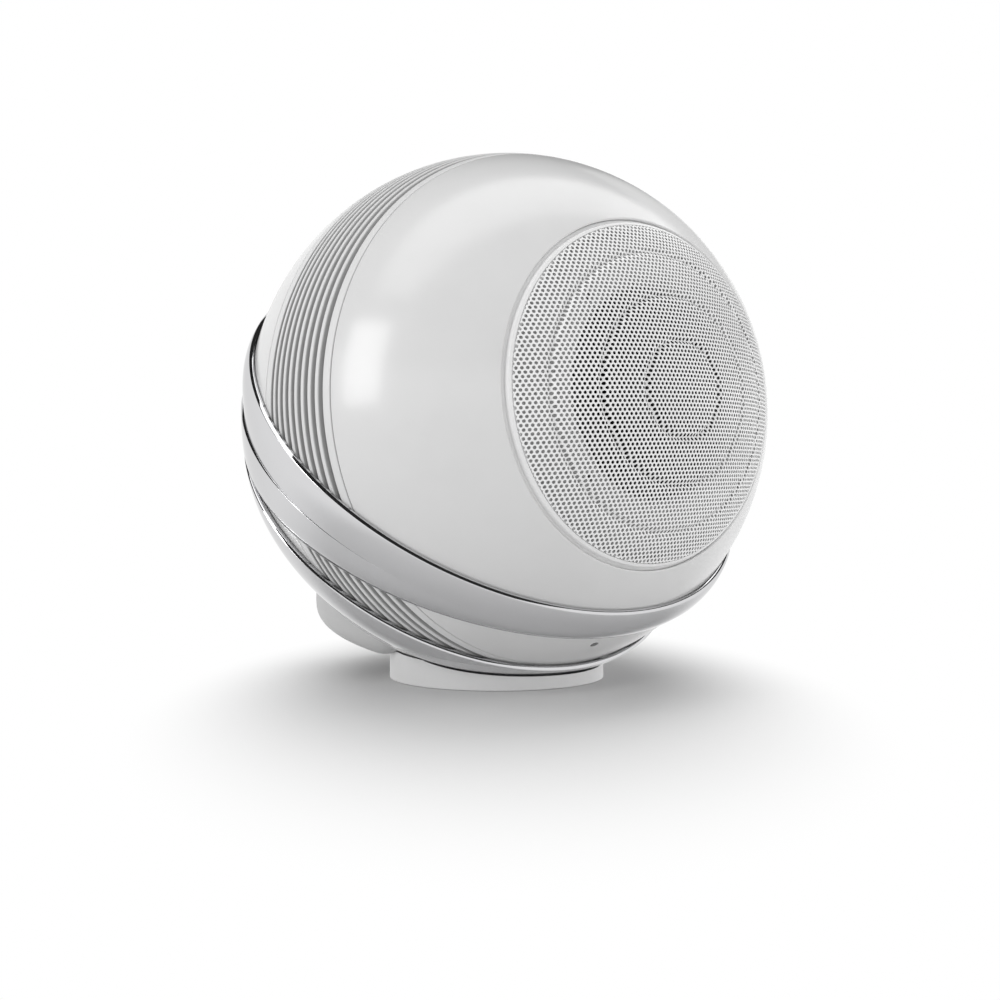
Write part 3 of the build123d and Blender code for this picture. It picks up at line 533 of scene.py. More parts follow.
def trim_outline():
    """Valley beside the shell, the bead on the ball's skin, the shelf under the sheet and the foot."""
    shelf = ball_radius - seat_drop
    near = trim_inner - trim_shelf
    valley = trim_outer - valley_width
    bead = valley - valley_rise
    low = ball_radius - valley_depth
    return chain([
        *line_run((trim_outer, level(trim_outer, low)), (valley, level(valley, low)), (bead, level(bead))),
        ball_run(ball_radius, level(bead), level(trim_inner), bead_steps),
        *line_run((trim_inner, level(trim_inner)), (trim_inner, level(trim_inner, shelf)),
                  (near, level(near, shelf)), (near, trim_base), (trim_outer, trim_base),
                  (trim_outer, level(trim_outer, low))),
    ], cut=trim_lip_cut)


trim_ring = turned("grille_rim", trim_outline())
dress(trim_ring, "cabinet", "gloss_white_moulding", "grille_trim_ring", material=rim_white)

# %% [markdown]
# The grille is the showpiece: thousands of round holes in a domed sheet, punched in level rows with every
# second row shifted by half a pitch. A picture of holes would lie flat and show no depth, so each hole is real.
# One cell is a hexagon with a twelve-sided hole, with its back and the hole's wall, which widens to the back, as
# a punched hole does. This cell lays out the flat pattern: the places of the holes, and one cell's points and
# triangles.

# %% Hole pattern
hole_pitch = 1.68 * mm
hole_radius = 0.59 * mm
hole_back_radius = 0.69 * mm
hole_sides = 12
cell_corners = 6
cell_points = cell_corners + hole_sides
first_corner = 30
row_turn = 3.3
sheet_edge = trim_inner - fit_gap


def lattice():
    """Centres of a hexagonal lattice: (i + j/2, j sqrt(3)/2) times the pitch, turned a little, on the disc."""
    reach = math.ceil(2 * sheet_edge / hole_pitch)
    i, j = np.meshgrid(np.arange(-reach, reach + 1), np.arange(-reach, reach + 1))
    place = np.stack([(i + j / 2).ravel(), (j * math.sqrt(3) / 2).ravel()], axis=1) * hole_pitch
    angle = math.radians(row_turn)
    turn = np.array([[math.cos(angle), math.sin(angle)], [-math.sin(angle), math.cos(angle)]])
    place = place @ turn
    return place[np.hypot(*place.T) < sheet_edge + hole_pitch / 2]


def polygon(sides, radius):
    """Corners of a regular polygon: radius (cos a, sin a), turned with the rows."""
    angle = np.radians(first_corner + 360 / sides * np.arange(sides) + row_turn)
    return radius * np.stack([np.cos(angle), np.sin(angle)], axis=1)


def cell_outline(hole):
    """Corners of a cell and the points of a hole of this radius, about the cell's middle."""
    return np.concatenate([polygon(cell_corners, hole_pitch / math.sqrt(3)), polygon(hole_sides, hole)])


def cell_faces():
    """Triangles of one cell: three a side on the front, the same on the back, and the hole's wall."""
    near = np.arange(cell_corners)
    far = (near + 1) % cell_corners
    first = cell_corners + 2 * near
    middle, last = first + 1, cell_corners + (2 * near + 2) % hole_sides
    front = np.concatenate([np.stack(t, axis=1) for t in
                            ((near, first, middle), (near, middle, far), (far, middle, last))])
    back = front[:, ::-1] + cell_points
    ring = cell_corners + np.arange(hole_sides)
    after = cell_corners + (np.arange(hole_sides) + 1) % hole_sides
    wall = np.concatenate([np.stack((ring, ring + cell_points, after), axis=1),
                           np.stack((after, ring + cell_points, after + cell_points), axis=1)])
    return np.concatenate([front, back, wall])


holes = lattice()
print("holes", len(holes), "triangles a cell", len(cell_faces()))

# %% [markdown]
# Copies of the cell fill the disc, and all of them are moved onto the dome at once. The dome follows the ball,
# less three pressed creases: depth(r) = crease_depth * max(0, 1 - |r - crease| / half_width). A cell that crosses
# the rim is pulled back to it, so that the last holes are cut as on the real sheet. The sheet is made as three
# zones, so that no piece grows too large.

# %% Perforated grille
sheet_wall = 0.5 * mm
crease_radii = np.array([17.2, 33.5, 50.0]) * mm
crease_depth = 1.2 * mm
crease_half_width = 1.5 * mm
zone_edges = (0.0, 38.0 * mm, 51.0 * mm, sheet_edge + hole_pitch)
cell_weld = 2e-6
tiny = 1e-9


def dome(flat, drop):
    """Flat points (x, z) on the creased dome: sqrt(ball^2 - r^2) less the creases and a drop."""
    radius = np.hypot(flat[..., 0], flat[..., 1])
    flat = flat * np.minimum(1, sheet_edge / np.maximum(radius, tiny))[..., None]
    radius = np.minimum(radius, sheet_edge)
    crease = np.clip(1 - np.abs(radius[..., None] - crease_radii) / crease_half_width, 0, None).sum(axis=-1)
    along = np.sqrt(ball_radius**2 - radius**2) - crease_depth * crease - drop
    return np.stack([flat[..., 0], -along, flat[..., 1]], axis=-1) + centre


front_cell, back_cell = cell_outline(hole_radius), cell_outline(hole_back_radius)
triangles = cell_faces()
hole_reach = np.hypot(*holes.T)
grille_names = ("grille_middle", "grille_belt", "grille_border")
for name, inner, outer in zip(grille_names, zone_edges, zone_edges[1:]):
    mine = holes[(hole_reach >= inner) & (hole_reach < outer)][:, None, :]
    points = np.concatenate([dome(mine + front_cell, 0.0), dome(mine + back_cell, sheet_wall)], axis=1)
    faces = triangles + (np.arange(len(mine)) * 2 * cell_points)[:, None, None]
    sheet = new_piece(name, points.reshape(-1, 3), faces.reshape(-1, 3), weld=cell_weld, sharp=50)
    dress(sheet, "cabinet", "white_coated_sheet", "front_grille")

# %% [markdown]
# Behind the grille the driver's cone moves, and two soft rings flex with it: the rubber roll round its edge and
# the wavy cloth ring that centres its neck.

# %% Soft ring helpers
flex_sectors = 18
sector_columns = 7


def sector_faces(count):
    """Quads of a sector: the skin round its closed section, and a cap of quads on each end."""
    loop = 2 * count
    skin = grid_faces(sector_columns, loop, False, True)
    i = np.arange(count - 1)
    cap = np.stack([i, i + 1, loop - 2 - i, loop - 1 - i], axis=1)
    return np.concatenate([skin, cap, cap[:, ::-1] + (sector_columns - 1) * loop])


def soft_ring(name, node, slot, front, rear, near, far):
    """Ring of sectors between two outlines, carried round the front axis; the radii near and far are not used."""
    outline = np.concatenate([front, rear[::-1]])
    half = math.pi / flex_sectors
    for number in range(flex_sectors):
        middle = 2 * half * number
        angle = (middle + np.linspace(-half, half, sector_columns))[:, None]
        sector = new_piece(f"{name}_{number + 1}", revolve(outline, angle), sector_faces(len(front)))
        paint(sector, materials[slot])
        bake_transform(sector)
        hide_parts(node)


print("quads of a sector of five points a side", len(sector_faces(5)))

# %% [markdown]
# The rubber roll is a half circle in section, with a flat lip that is glued to the basket. A torus could be cut
# in half, but here the solid's box and the cone's box give the two radii, so the roll closes the gap by itself.

# %% Rubber roll
roll_wall = 0.6 * mm
roll_lip = 1.2 * mm
roll_points = 25


def rubber_roll():
    """Front and back of the roll: half circles (m + h cos t, level + h sin t), each with a flat lip."""
    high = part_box("driver_surround")[1]
    near, lip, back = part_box("driver_cone")[1].x + fit_gap, high.x, -high.y
    far = lip - roll_lip
    middle, swell = (near + far) / 2, (far - near) / 2
    t = np.linspace(math.pi, 0, roll_points)
    front = np.stack([middle + swell * np.cos(t), back + roll_wall + swell * np.sin(t)], axis=1)
    rear = np.stack([middle + (swell - roll_wall) * np.cos(t), back + swell * np.sin(t)], axis=1)
    rear[0, 0] = near
    return np.vstack([front, [[lip, back + roll_wall]]]), np.vstack([rear, [[lip, back]]]), near, far


soft_ring("surround_roll", "driver_surround", "black_rubber", *rubber_roll())

# %% [markdown]
# The cloth ring has pressed waves, so that it can stretch, and lies flat on the basket's shelf. A cosine gives
# all the waves at once; drawn by hand, each would need its own points.

# %% Cloth ring
spider_wall = 0.5 * mm
spider_waves = 5
wave_points = 12
spider_near = 13.35 * mm
spider_shelf = 28.0 * mm


def cloth_ring():
    """Front and back of the ring: waves height (1 - cos u) / 2, then flat on the basket's shelf."""
    low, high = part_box("driver_spider")
    back, height = -high.y, high.y - low.y - spider_wall
    r = np.linspace(spider_near, spider_shelf, wave_points * spider_waves + 1)
    u = 2 * math.pi * spider_waves * (r - spider_near) / (spider_shelf - spider_near)
    rear = np.vstack([np.stack([r, back + height * (1 - np.cos(u)) / 2], axis=1), [[high.x, back]]])
    return rear + [0, spider_wall], rear, spider_near, spider_shelf


soft_ring("spider_cloth", "driver_spider", "treated_cloth", *cloth_ring())

# %% [markdown]
# The finned ring is a casting with nine turned grooves. Its outline steps in and out of the ball's arc, and
# each fin's two corners are softened, so that its crest shines as a thin line. Grooves cut out of a solid would
# leave raw edges, which no light catches.

# %% Finned ring
groove_count = 9
groove_pitch = 3.76 * mm
groove_width = 2.3 * mm
groove_depth = 4.5 * mm
first_groove = 5.7 * mm
ring_wall = 10.0 * mm
chassis_seat = 4.3 * mm
chassis_wall = 2.5 * mm
fin_steps = 6


def finned_outline():
    """Arc of the ball broken by grooves, with the inner wall and the two seats."""
    inner = ball_radius - ring_wall
    rear, front = seam_gap / 2, ring_length - seam_gap / 2
    seat = rear + chassis_wall
    step = front - tongue_inset
    runs, start = [], rear
    for place in first_groove + groove_pitch * np.arange(groove_count):
        low, high = place - groove_width / 2, place + groove_width / 2
        floor = level(place) - groove_depth
        runs.append(ball_run(ball_radius, start, low, fin_steps))
        runs += line_run((level(low), low), (floor, low), (floor, high), (level(high), high))
        start = high
    runs.append(ball_run(ball_radius, start, front, fin_steps))
    runs += line_run((level(front), front), (level(front) - tongue_inset, front),
                     (level(front) - tongue_inset, step), (level(step, inner), step))
    runs.append(ball_run(inner, step, seat, inner_steps))
    runs += line_run((level(seat, inner), seat), (inner + chassis_seat, seat), (inner + chassis_seat, rear),
                     (level(rear), rear))
    return chain(runs)


finned_ring = turned("finned_ring_skin", finned_outline(), sharp=60)
dress(finned_ring, "cabinet", "white_coated_casting", "finned_ring")

# %% [markdown]
# The rear shell is a plain half ball with a wall. A sphere primitive has no wall and no seam face, so this is an
# outline too: from the outer pole to the seam and back to the inner pole, and the welded ends close both poles.

# %% Rear shell
pole_weld = 1e-6
skin_steps, lining_steps = 96, 48


def rear_shell_outline():
    """Outer arc from the pole to the seam, the seam face, and the inner arc back to the pole."""
    inner = ball_radius - shell_wall
    seam = -seam_gap / 2
    return chain([
        ball_run(ball_radius, -ball_radius, seam, skin_steps),
        *line_run((level(seam), seam), (level(seam, inner), seam)),
        ball_run(inner, seam, -inner, lining_steps),
    ], closed=False)


rear_shell = turned("rear_shell_skin", rear_shell_outline(), closed=False, weld=pole_weld)
dress(rear_shell, "cabinet", "gloss_white_moulding", "rear_shell")

# %% [markdown]
# The hoops are what makes this speaker: three bands of chrome that lie on the ball and lean back. A hoop is cut
# by flat planes, so its section changes as it goes round. In the hoop's own frame, with angle a round its axis
# and latitude b, a plane that leans by d more and stands at offset o cuts a ball of radius q where
# q (cos b sin a sin d + sin b cos d) = o. That solves to
# b = asin(o / (q k)) - atan2(sin a sin d, cos d), with k = hypot(sin a sin d, cos d).

# %% Hoop cuts
hoop_steps = 480
hoop_angle = ring_angles(hoop_steps)
upper_tilt, upper_top = 44.4, -1.5 * mm
split_tilt, split_top = 39.3, -21.7 * mm
middle_tilt, middle_low = 31.3, -43.8 * mm
lower_tilt, lower_top, lower_low = 44.6, -43.4 * mm, -68.2 * mm


def plane_cut(tilt, plane_tilt, offset):
    """Cut of a hoop of one tilt by a plane of another: a function of the radius that gives the latitudes."""
    lean = math.radians(tilt - plane_tilt)
    a, b = np.sin(hoop_angle) * math.sin(lean), math.cos(lean)

    def latitude(radius):
        """Latitude asin(o / (q k)) - atan2(a, b) at each angle, with k = hypot(a, b)."""
        return np.arcsin(np.clip(offset / (radius * np.hypot(a, b)), -1, 1)) - np.arctan2(a, b)

    return latitude


upper_cut = plane_cut(upper_tilt, upper_tilt, upper_top)
print("upper cut on the ball, degrees", round(math.degrees(upper_cut(ball_radius)[0, 0]), 3))

# %% [markdown]
# A hoop's section is what the eye reads in its mirror. From the top it has a ledge that leans out near its upper
# end, a straight bevel, the broad face, a small round at the lower edge and a seat just off the ball. Ledge and
# bevel are flat on purpose: each mirrors one band of the room, the ledge a dark line and the bevel a white one. A
# round edge would smear both into grey. Points are pairs of a depth below the upper cut and a thickness.

# %% Hoop section
hoop_stand = 0.45 * mm
hoop_low_round = 0.12 * mm
bevel_ease = 0.2
lean_rise = 1.6
edge_share = 0.3
face_steps, seat_steps, bend_steps = 28, 5, 5


def bend(start, corner, end):
    """Depths and thicknesses on the bow from one (depth, thickness) pair round the next to the last."""
    t = np.linspace(0, 1, bend_steps)[None, :]
    return [bow(a, b, c, t) for a, b, c in zip(start, corner, end)]


def toward(start, end):
    """The point a small share of the way from one (depth, thickness) pair to the next."""
    return [a + bevel_ease * (b - a) for a, b in zip(start, end)]


def hoop_section(width, face, bevel, lean):
    """Shares of the width and thicknesses round a section: ledge, bevel, face, lower edge and seat.

    Ledge and bevel are straight, with a small bend at both ends. The seat stands a little off the ball, and at
    half the thickness where the hoop thins out.
    """
    under = width * np.linspace(1, 0, seat_steps)[None, :]
    seat = np.minimum(hoop_stand, face(under) / 2)
    zero = np.zeros_like(width)
    near = np.minimum(bevel, edge_share * width)
    ease = bevel_ease * near
    far = np.minimum(hoop_low_round, edge_share * width)
    crown = lean + near
    top = np.maximum(face(zero + lean) - near, seat[:, -1:])
    ledge = (zero, np.maximum(top - np.maximum(lean_rise * lean, near), seat[:, -1:]))
    outer, inner = (zero + lean, top), (crown, face(crown))
    start = bend((zero, np.maximum(ledge[1] - ease, seat[:, -1:])), ledge, toward(ledge, outer))
    edge = bend(toward(outer, ledge), outer, toward(outer, inner))
    crest = bend(toward(inner, outer), inner, (crown + ease, face(crown + ease)))
    run = crown + ease + (width - far - crown - ease) * np.linspace(0, 1, face_steps)[None, 1:-1]
    last = np.maximum(face(width) - hoop_low_round, seat[:, :1])
    foot = bend((width - far, face(width - far)), (width, face(width)), (width, last))
    depth = np.concatenate([start[0], edge[0], crest[0], run, foot[0], under], axis=1)
    thick = np.concatenate([start[1], edge[1], crest[1], face(run), foot[1], seat], axis=1)
    return depth / width, thick


section_points = 4 * bend_steps + face_steps - 2 + seat_steps
print("points of a section", section_points)

# %% [markdown]
# The section is then carried round. A section point is a share v of the way from the upper cut to the lower one,
# and a thickness t off the ball, so its radius q is the ball's radius and t, and its latitude b lies between the
# two cuts at that radius. In the hoop's own axes the point is q (cos b cos a, cos b sin a, sin b).

# %% Hoop surface
def hoop(name, tilt, upper, lower, face, bevel, lean=0.0):
    """Hoop between two cuts: q (cos b cos a, cos b sin a, sin b) on axes that lean back by the tilt."""
    width = ball_radius * (upper(ball_radius) - lower(ball_radius))
    share, thickness = hoop_section(width, lambda depth: face(depth, width), bevel, lean)
    radius = ball_radius + thickness
    high, low = upper(radius), lower(radius)
    latitude = high + (low - high) * share
    s, c = math.sin(math.radians(tilt)), math.cos(math.radians(tilt))
    axes = np.array([[1, 0, 0], [0, c, s], [0, -s, c]])
    points = around(radius * np.cos(latitude), hoop_angle, radius * np.sin(latitude))
    return ring_piece(name, points @ axes + centre, True, sharp=70)


print("points of a hoop", hoop_steps * section_points)

# %% [markdown]
# The upper hoop is crowned close to its top and thins out below, as five depths and thicknesses say. Straight
# runs between them would show as kinks in the chrome, so a quartic passes through all five.

# %% Upper hoop
upper_depths = np.array([0.0, 7.0, 14.0, 22.0, 36.0])
upper_thickness = np.array([2.0, 3.13, 2.6, 1.5, 0.5])
upper_curve = np.polyfit(upper_depths, upper_thickness, len(upper_depths) - 1)
upper_bevel = 0.7 * mm
upper_low_cut = plane_cut(upper_tilt, split_tilt, split_top)


def upper_face(depth, width):
    """Quartic through the five thicknesses, in millimetres."""
    return np.polyval(upper_curve, depth / mm) * mm


upper_hoop = hoop("upper_hoop_band", upper_tilt, upper_cut, upper_low_cut, upper_face, upper_bevel)
dress(upper_hoop, "cabinet", "polished_chrome", "upper_hoop")

# %% [markdown]
# The middle hoop meets the upper one along a third plane, the split, and has an even thickness and a rolled lower
# edge: thickness = feather + (crown - feather) (1 - (1 - w)^2.5), with w the distance from that edge over the
# length of the roll. Its bevel is most of its step over the upper hoop, so it fades where the two are level.

# %% Middle hoop
middle_crown = 2.5 * mm
middle_roll = 11.0 * mm
roll_power = 2.5
hoop_feather = 0.3 * mm
split_share = 0.8
split_least, split_most = 0.1 * mm, 0.8 * mm
middle_top_cut = plane_cut(middle_tilt, split_tilt, split_top)
rolled_edge = plane_cut(middle_tilt, middle_tilt, middle_low)
lower_hoop_top = plane_cut(middle_tilt, lower_tilt, lower_top)


def middle_low_cut(radius):
    """The higher of the rolled edge and the lower hoop's top plane."""
    return np.maximum(rolled_edge(radius), lower_hoop_top(radius))


def middle_face(depth, width):
    """Even thickness with a roll towards the hoop's own lower edge."""
    extra = ball_radius * (middle_low_cut(ball_radius) - rolled_edge(ball_radius))
    w = np.clip((width - depth + extra) / middle_roll, 0, 1)
    return hoop_feather + (middle_crown - hoop_feather) * (1 - (1 - w) ** roll_power)


def split_bevel():
    """Share of the step from the upper hoop's lower edge up to the crown, between two limits."""
    width = ball_radius * (upper_cut(ball_radius) - upper_low_cut(ball_radius))
    return np.clip(split_share * (middle_crown - upper_face(width, width)), split_least, split_most)


middle_hoop = hoop("middle_hoop_band", middle_tilt, middle_top_cut, middle_low_cut, middle_face, split_bevel())
dress(middle_hoop, "cabinet", "polished_chrome", "middle_hoop")

# %% [markdown]
# The lower hoop is a parabola in w, the share of its width, from its edge over a low crown down to a feather. Its
# ledge leans, and its bevel is widest, in front, where its white line is broad; both fade towards the back.

# %% Lower hoop
lower_edge = 2.6 * mm
lower_slope = 1.6 * mm
lower_fall = 3.9 * mm
lower_side, lower_front, lower_lean = 0.3 * mm, 0.55 * mm, 0.5 * mm


def lower_face(depth, width):
    """Parabola: edge + slope w - fall w^2."""
    w = depth / width
    return lower_edge + lower_slope * w - lower_fall * w**2


in_front = (1 - np.sin(hoop_angle)) / 2
lower_hoop = hoop("lower_hoop_band", lower_tilt, plane_cut(lower_tilt, lower_tilt, lower_top),
                  plane_cut(lower_tilt, lower_tilt, lower_low), lower_face,
                  lower_side + (lower_front - lower_side) * in_front**2, lower_lean * in_front)
dress(lower_hoop, "cabinet", "polished_chrome", "lower_hoop")

# %% [markdown]
# The foot is a drum whose top is dished to the ball and to the lowest hoop. As a height field it is simple: over
# a point (x, y) the dish stands at centre - sqrt(q^2 - x^2 - y^2), with q the ball's radius, or the hoop's outer
# radius where the hoop lies. The hoop's thickness depends on the height, so the sum is done three times over,
# and each time comes closer. Rings of points run from the bore out under the pad, up the wall and back in.

# %% Foot
foot_radius = 46.6 * mm
foot_bore = 19.0 * mm
foot_setback = 8.1 * mm
foot_base = 0.12 * mm
foot_round = 0.4 * mm
dish_gap = 0.6 * mm
dish_lip, dish_start = 0.15 * mm, 0.5 * mm
foot_steps, corner_steps, dish_rings, dish_rounds = 720, 7, 24, 3
wall_shares = np.array([0.25, 0.5, 0.75])


def dish(x, y):
    """Height of the ball, or of the lower hoop's outer face, over the table at (x, y)."""
    s, c = math.sin(math.radians(lower_tilt)), math.cos(math.radians(lower_tilt))
    drop = np.sqrt((ball_radius + dish_gap) ** 2 - x**2 - y**2)
    for _ in range(dish_rounds):
        w = (lower_top + s * y + c * drop) / (lower_top - lower_low)
        thick = np.where((w > 0) & (w < 1), lower_face(w, 1), 0.0)
        drop = np.sqrt((ball_radius + dish_gap + np.maximum(thick, 0)) ** 2 - x**2 - y**2)
    return centre[2] - drop


def foot_rings():
    """Points of each ring: underside, rounded corner, wall, and the dish back to the bore."""
    angle = ring_angles(foot_steps)
    turn = np.linspace(0, math.pi / 2, corner_steps)
    low_radius = np.concatenate([[foot_bore], foot_radius - foot_round * (1 - np.sin(turn))])
    low_height = np.concatenate([[foot_base], foot_base + foot_round * (1 - np.cos(turn))])
    dish_radius = np.concatenate([[foot_radius, foot_radius - dish_lip],
                                  np.linspace(foot_radius - dish_start, foot_bore, dish_rings)])
    top = dish(dish_radius * np.cos(angle), dish_radius * np.sin(angle) + foot_setback)
    top[:, 0] -= dish_lip
    wall = low_height[-1] + (top[:, :1] - low_height[-1]) * wall_shares
    low = np.broadcast_to(low_height, (foot_steps, len(low_height)))
    height = np.concatenate([low, wall, top], axis=1)
    radius = np.concatenate([low_radius, np.full(len(wall_shares), foot_radius), dish_radius])
    return around(radius, angle, height) + [0, foot_setback, 0]


foot = ring_piece("foot_drum", foot_rings(), True, sharp=50)
dress(foot, "cabinet", "satin_white_moulding", "foot")

# %% [markdown]
# Behind the foot, under the ball, a white drum holds the sockets. Its underside slopes up to the rear, so the
# wall's lower end follows z = clearance + y tan(slope). In front it curves up to the foot's rim by
# lift ((start - y) / run)^2, and a round joins wall and underside. The wall ends where it meets the ball. This
# cell works out the columns round the drum and the rings of points on each.

# %% Drum outline
slip_gap = 0.3 * mm
housing_radius = 62.0 * mm
housing_slope = 13.8
housing_clearance = 5.3 * mm
housing_round = 9.0 * mm
keel_start, keel_run, keel_lift = 21.0 * mm, 8.0 * mm, 2.5 * mm
recess_columns, drum_columns = 49, 193
round_steps, wall_rows = 9, 6
inner_rings = np.array([[0.35, 0.7]])
least_wall = 1e-5
housing_setback = ball_radius - housing_radius
panel_low, panel_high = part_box("connector_panel")
recess_half = panel_high.x + slip_gap
recess_low = panel_low.z - slip_gap
recess_high = panel_high.z + slip_gap


def housing_columns():
    """Angles round the drum from the rear, with exact columns on the recess's two sides."""
    side = math.asin(recess_half / housing_radius)
    behind = np.linspace(-side, side, recess_columns)
    return np.concatenate([behind, np.linspace(side, 2 * math.pi - side, drum_columns)[1:-1]])[:, None]


def on_drum(radius, angle, height):
    """Points on the drum: setback (0, 1, 0) + r (sin a, cos a, 0) + h (0, 0, 1)."""
    return around(radius, angle, height)[..., [1, 0, 2]] + [0, housing_setback, 0]


def housing_profile(angle):
    """Radius and height of the lower rings: the underside and the round that joins it to the wall."""
    rise = math.tan(math.radians(housing_slope))
    slope = np.arctan(rise * np.cos(angle))
    back = housing_setback + housing_radius * np.cos(angle)
    keel = keel_lift * np.clip((keel_start - back) / keel_run, 0, None) ** 2
    edge = housing_clearance + rise * back + keel
    tangent = housing_round * np.tan((math.pi / 2 - slope) / 2)
    t = np.linspace(0, 1, round_steps)[None, :]
    start_radius = housing_radius - tangent * np.cos(slope)
    round_radius = bow(start_radius, housing_radius, housing_radius, t)
    round_height = bow(edge - tangent * np.sin(slope), edge, edge + tangent, t)
    inner = inner_rings * start_radius
    inner_height = edge - (housing_radius - inner) * np.tan(slope)
    return np.concatenate([inner, round_radius], axis=1), np.concatenate([inner_height, round_height], axis=1)


def housing_wall(angle, round_end):
    """Heights of the wall's rings: to the recess's floor line, to its top line, then to the ball."""
    x, y, _ = np.moveaxis(on_drum(housing_radius, angle, 0), -1, 0)
    reach = np.maximum((ball_radius + fit_gap) ** 2 - x**2 - y**2, 0)
    top = np.maximum(centre[2] - np.sqrt(reach), round_end + least_wall)
    low = np.clip(recess_low, round_end, top)
    high = np.clip(recess_high, low, top)
    spread = np.linspace(0, 1, wall_rows + 1)[1:]
    return np.concatenate([low, low + (high - low) * spread, high + (top - high) * spread], axis=1)


drum_angle = housing_columns()
print("drum columns", len(drum_angle), "recess mm", round(2 * recess_half / mm, 1))

# %% [markdown]
# The recess for the sockets is a window in the wall: columns of the grid stand on its two sides and rows on its
# top and bottom, so the window is a block of quads left out, and no cutting is needed. Its walls start on the
# same points as the skin and go straight in, so the weld closes the edge.

# %% Connector housing
def housing_skin():
    """Points, and faces with the recess left out."""
    radius, height = housing_profile(drum_angle)
    wall = housing_wall(drum_angle, height[:, -1:])
    start = radius.shape[1]
    radius = np.concatenate([radius, np.full_like(wall, housing_radius)], axis=1)
    height = np.concatenate([height, wall], axis=1)
    rings = radius.shape[1]
    faces = grid_faces(len(drum_angle), rings, True, False)
    column, row = faces[:, 0] // rings, faces[:, 0] % rings
    window = (column < recess_columns - 1) & (row >= start) & (row < start + wall_rows)
    return on_drum(radius, drum_angle, height), faces[~window]


def recess_walls():
    """Inner faces of the recess: its outline on the drum, carried straight in to the panel's back."""
    angle = drum_angle[:recess_columns, 0]
    height = np.repeat([recess_low, recess_high], recess_columns)
    outline = on_drum(housing_radius, np.concatenate([angle, angle[::-1]]), height)
    floor = outline.copy()
    floor[:, 1] = panel_low.y
    return np.stack([outline, floor], axis=1)


skin_points, skin_faces = housing_skin()
recess_points = recess_walls()
recess_faces = grid_faces(len(recess_points), 2, True, False)[:, ::-1] + skin_points.size // 3
drum_points = np.concatenate([skin_points.reshape(-1, 3), recess_points.reshape(-1, 3)])
housing = new_piece("connector_drum", drum_points, np.concatenate([skin_faces, recess_faces]),
                    weld=cell_weld, sharp=45)
# the drum gets painted shade, a darker copy of its satin white, for its place under the ball
dress(housing, "cabinet", "satin_white_moulding", "connector_housing", material=drum_shaded_white)

# %% [markdown]
# The status light is a smoked pipe end, flush with the front shell. A cylinder would show a flat end there, so it
# is a shallow cap: a disc that follows the ball, a hair proud of it, with a rounded edge down into the shell.

# %% Status light
lens_forward = 59.1 * mm
lens_radius = 1.7 * mm
lens_proud = 0.06 * mm
lens_skirt = 1.0 * mm
lens_power = 6
lens_weld = 1e-7


def lens_cap(rings=10, steps=48):
    """Cap over the ball at the light: height = proud * (1 - (r/R)^6) along the outward normal."""
    outward = np.array([0.0, -lens_forward, -level(lens_forward)]) / ball_radius
    side = np.array([1.0, 0.0, 0.0])
    r = np.append(np.linspace(0, 1, rings), 1.0) * lens_radius
    height = np.sqrt(ball_radius**2 - r**2) + lens_proud * (1 - (r / lens_radius) ** lens_power)
    height[-1] -= lens_skirt
    return around(r, ring_angles(steps), height) @ np.array([side, np.cross(outward, side), outward]) + centre


lens = ring_piece("status_light", lens_cap(), False, weld=lens_weld)
dress(lens, "cabinet", "smoked_lens", "status_lens")

# %% [markdown]
# Studio. A wide soft light hangs overhead and a tall soft box stands to the left; its reflection is the soft
# white patch on the ball. A weak box behind on the right lifts that edge. Two more fill the front and the low
# right side; mirrors don't see these, so that the chrome stays calm.

# %% Lights
soft_boxes = {
    "overhead_strip": dict(direction=(0.0, 0.0, 1.0), distance=1.2, size=(2.8, 0.54), radiance=1.75),
    "left_box": dict(direction=(-0.962, 0.05, 0.269), distance=1.0, size=(0.30, 0.50), radiance=5.6),
    "right_rear_box": dict(direction=(0.75, 0.3, 0.55), distance=1.4, size=(0.7, 0.7), radiance=0.5),
    "front_fill": dict(direction=(-0.1, -0.9, 0.45), distance=1.5, size=(1.2, 1.2), radiance=1.25,
                       mirrored=False),
    "low_fill": dict(direction=(0.85, -0.5, 0.12), distance=1.3, size=(1.0, 0.4), radiance=3.0,
                     mirrored=False),
}


def soft_box(name, direction, distance, size, radiance, mirrored=True):
    """Rectangular light that faces the ball from a direction; its power is radiance * pi * area."""
    back = distance * np.array(direction) / np.linalg.norm(direction)
    data = bpy.data.lights.new(name, "AREA")
    data.shape = "RECTANGLE"
    data.size, data.size_y = size
    data.energy = radiance * math.pi * size[0] * size[1]
    lamp = place(name, data)
    lamp.location = centre + back
    lamp.rotation_euler = (math.atan2(math.hypot(back[0], back[1]), back[2]), 0, math.atan2(back[0], -back[1]))
    lamp.visible_glossy = mirrored


for name, facts in soft_boxes.items():
    soft_box(name, **facts)
print("lights", list(soft_boxes))

# %% [markdown]
# The world is white to the eye and to mirrors and glass, but gives only a gentle fill of light. Light Path tells
# the two apart, so that a white background doesn't wash out the shadows.

# %% World
fill_level = 0.42


def seen_directly(tree):
    """Node that gives one for camera, mirror and glass rays, else zero."""
    path = add_node(tree, "LightPath")
    first = add_node(tree, "Math", operation="MAXIMUM")
    second = add_node(tree, "Math", operation="MAXIMUM")
    join(tree, (path, "Is Camera Ray", first, 0), (path, "Is Glossy Ray", first, 1),
         (first, 0, second, 0), (path, "Is Transmission Ray", second, 1))
    return second


world = bpy.data.worlds.new("studio")
bpy.context.scene.world = world
world.use_nodes = True
background = world.node_tree.nodes["Background"]
set_sockets(background, {"Color": (1, 1, 1, 1)})
strength = add_node(world.node_tree, "MapRange", {"To Min": fill_level, "To Max": 1.0})
join(world.node_tree, (seen_directly(world.node_tree), 0, strength, "Value"),
     (strength, "Result", background, "Strength"))
bpy.context.scene.view_settings.view_transform = "Standard"
print("fill level", fill_level)

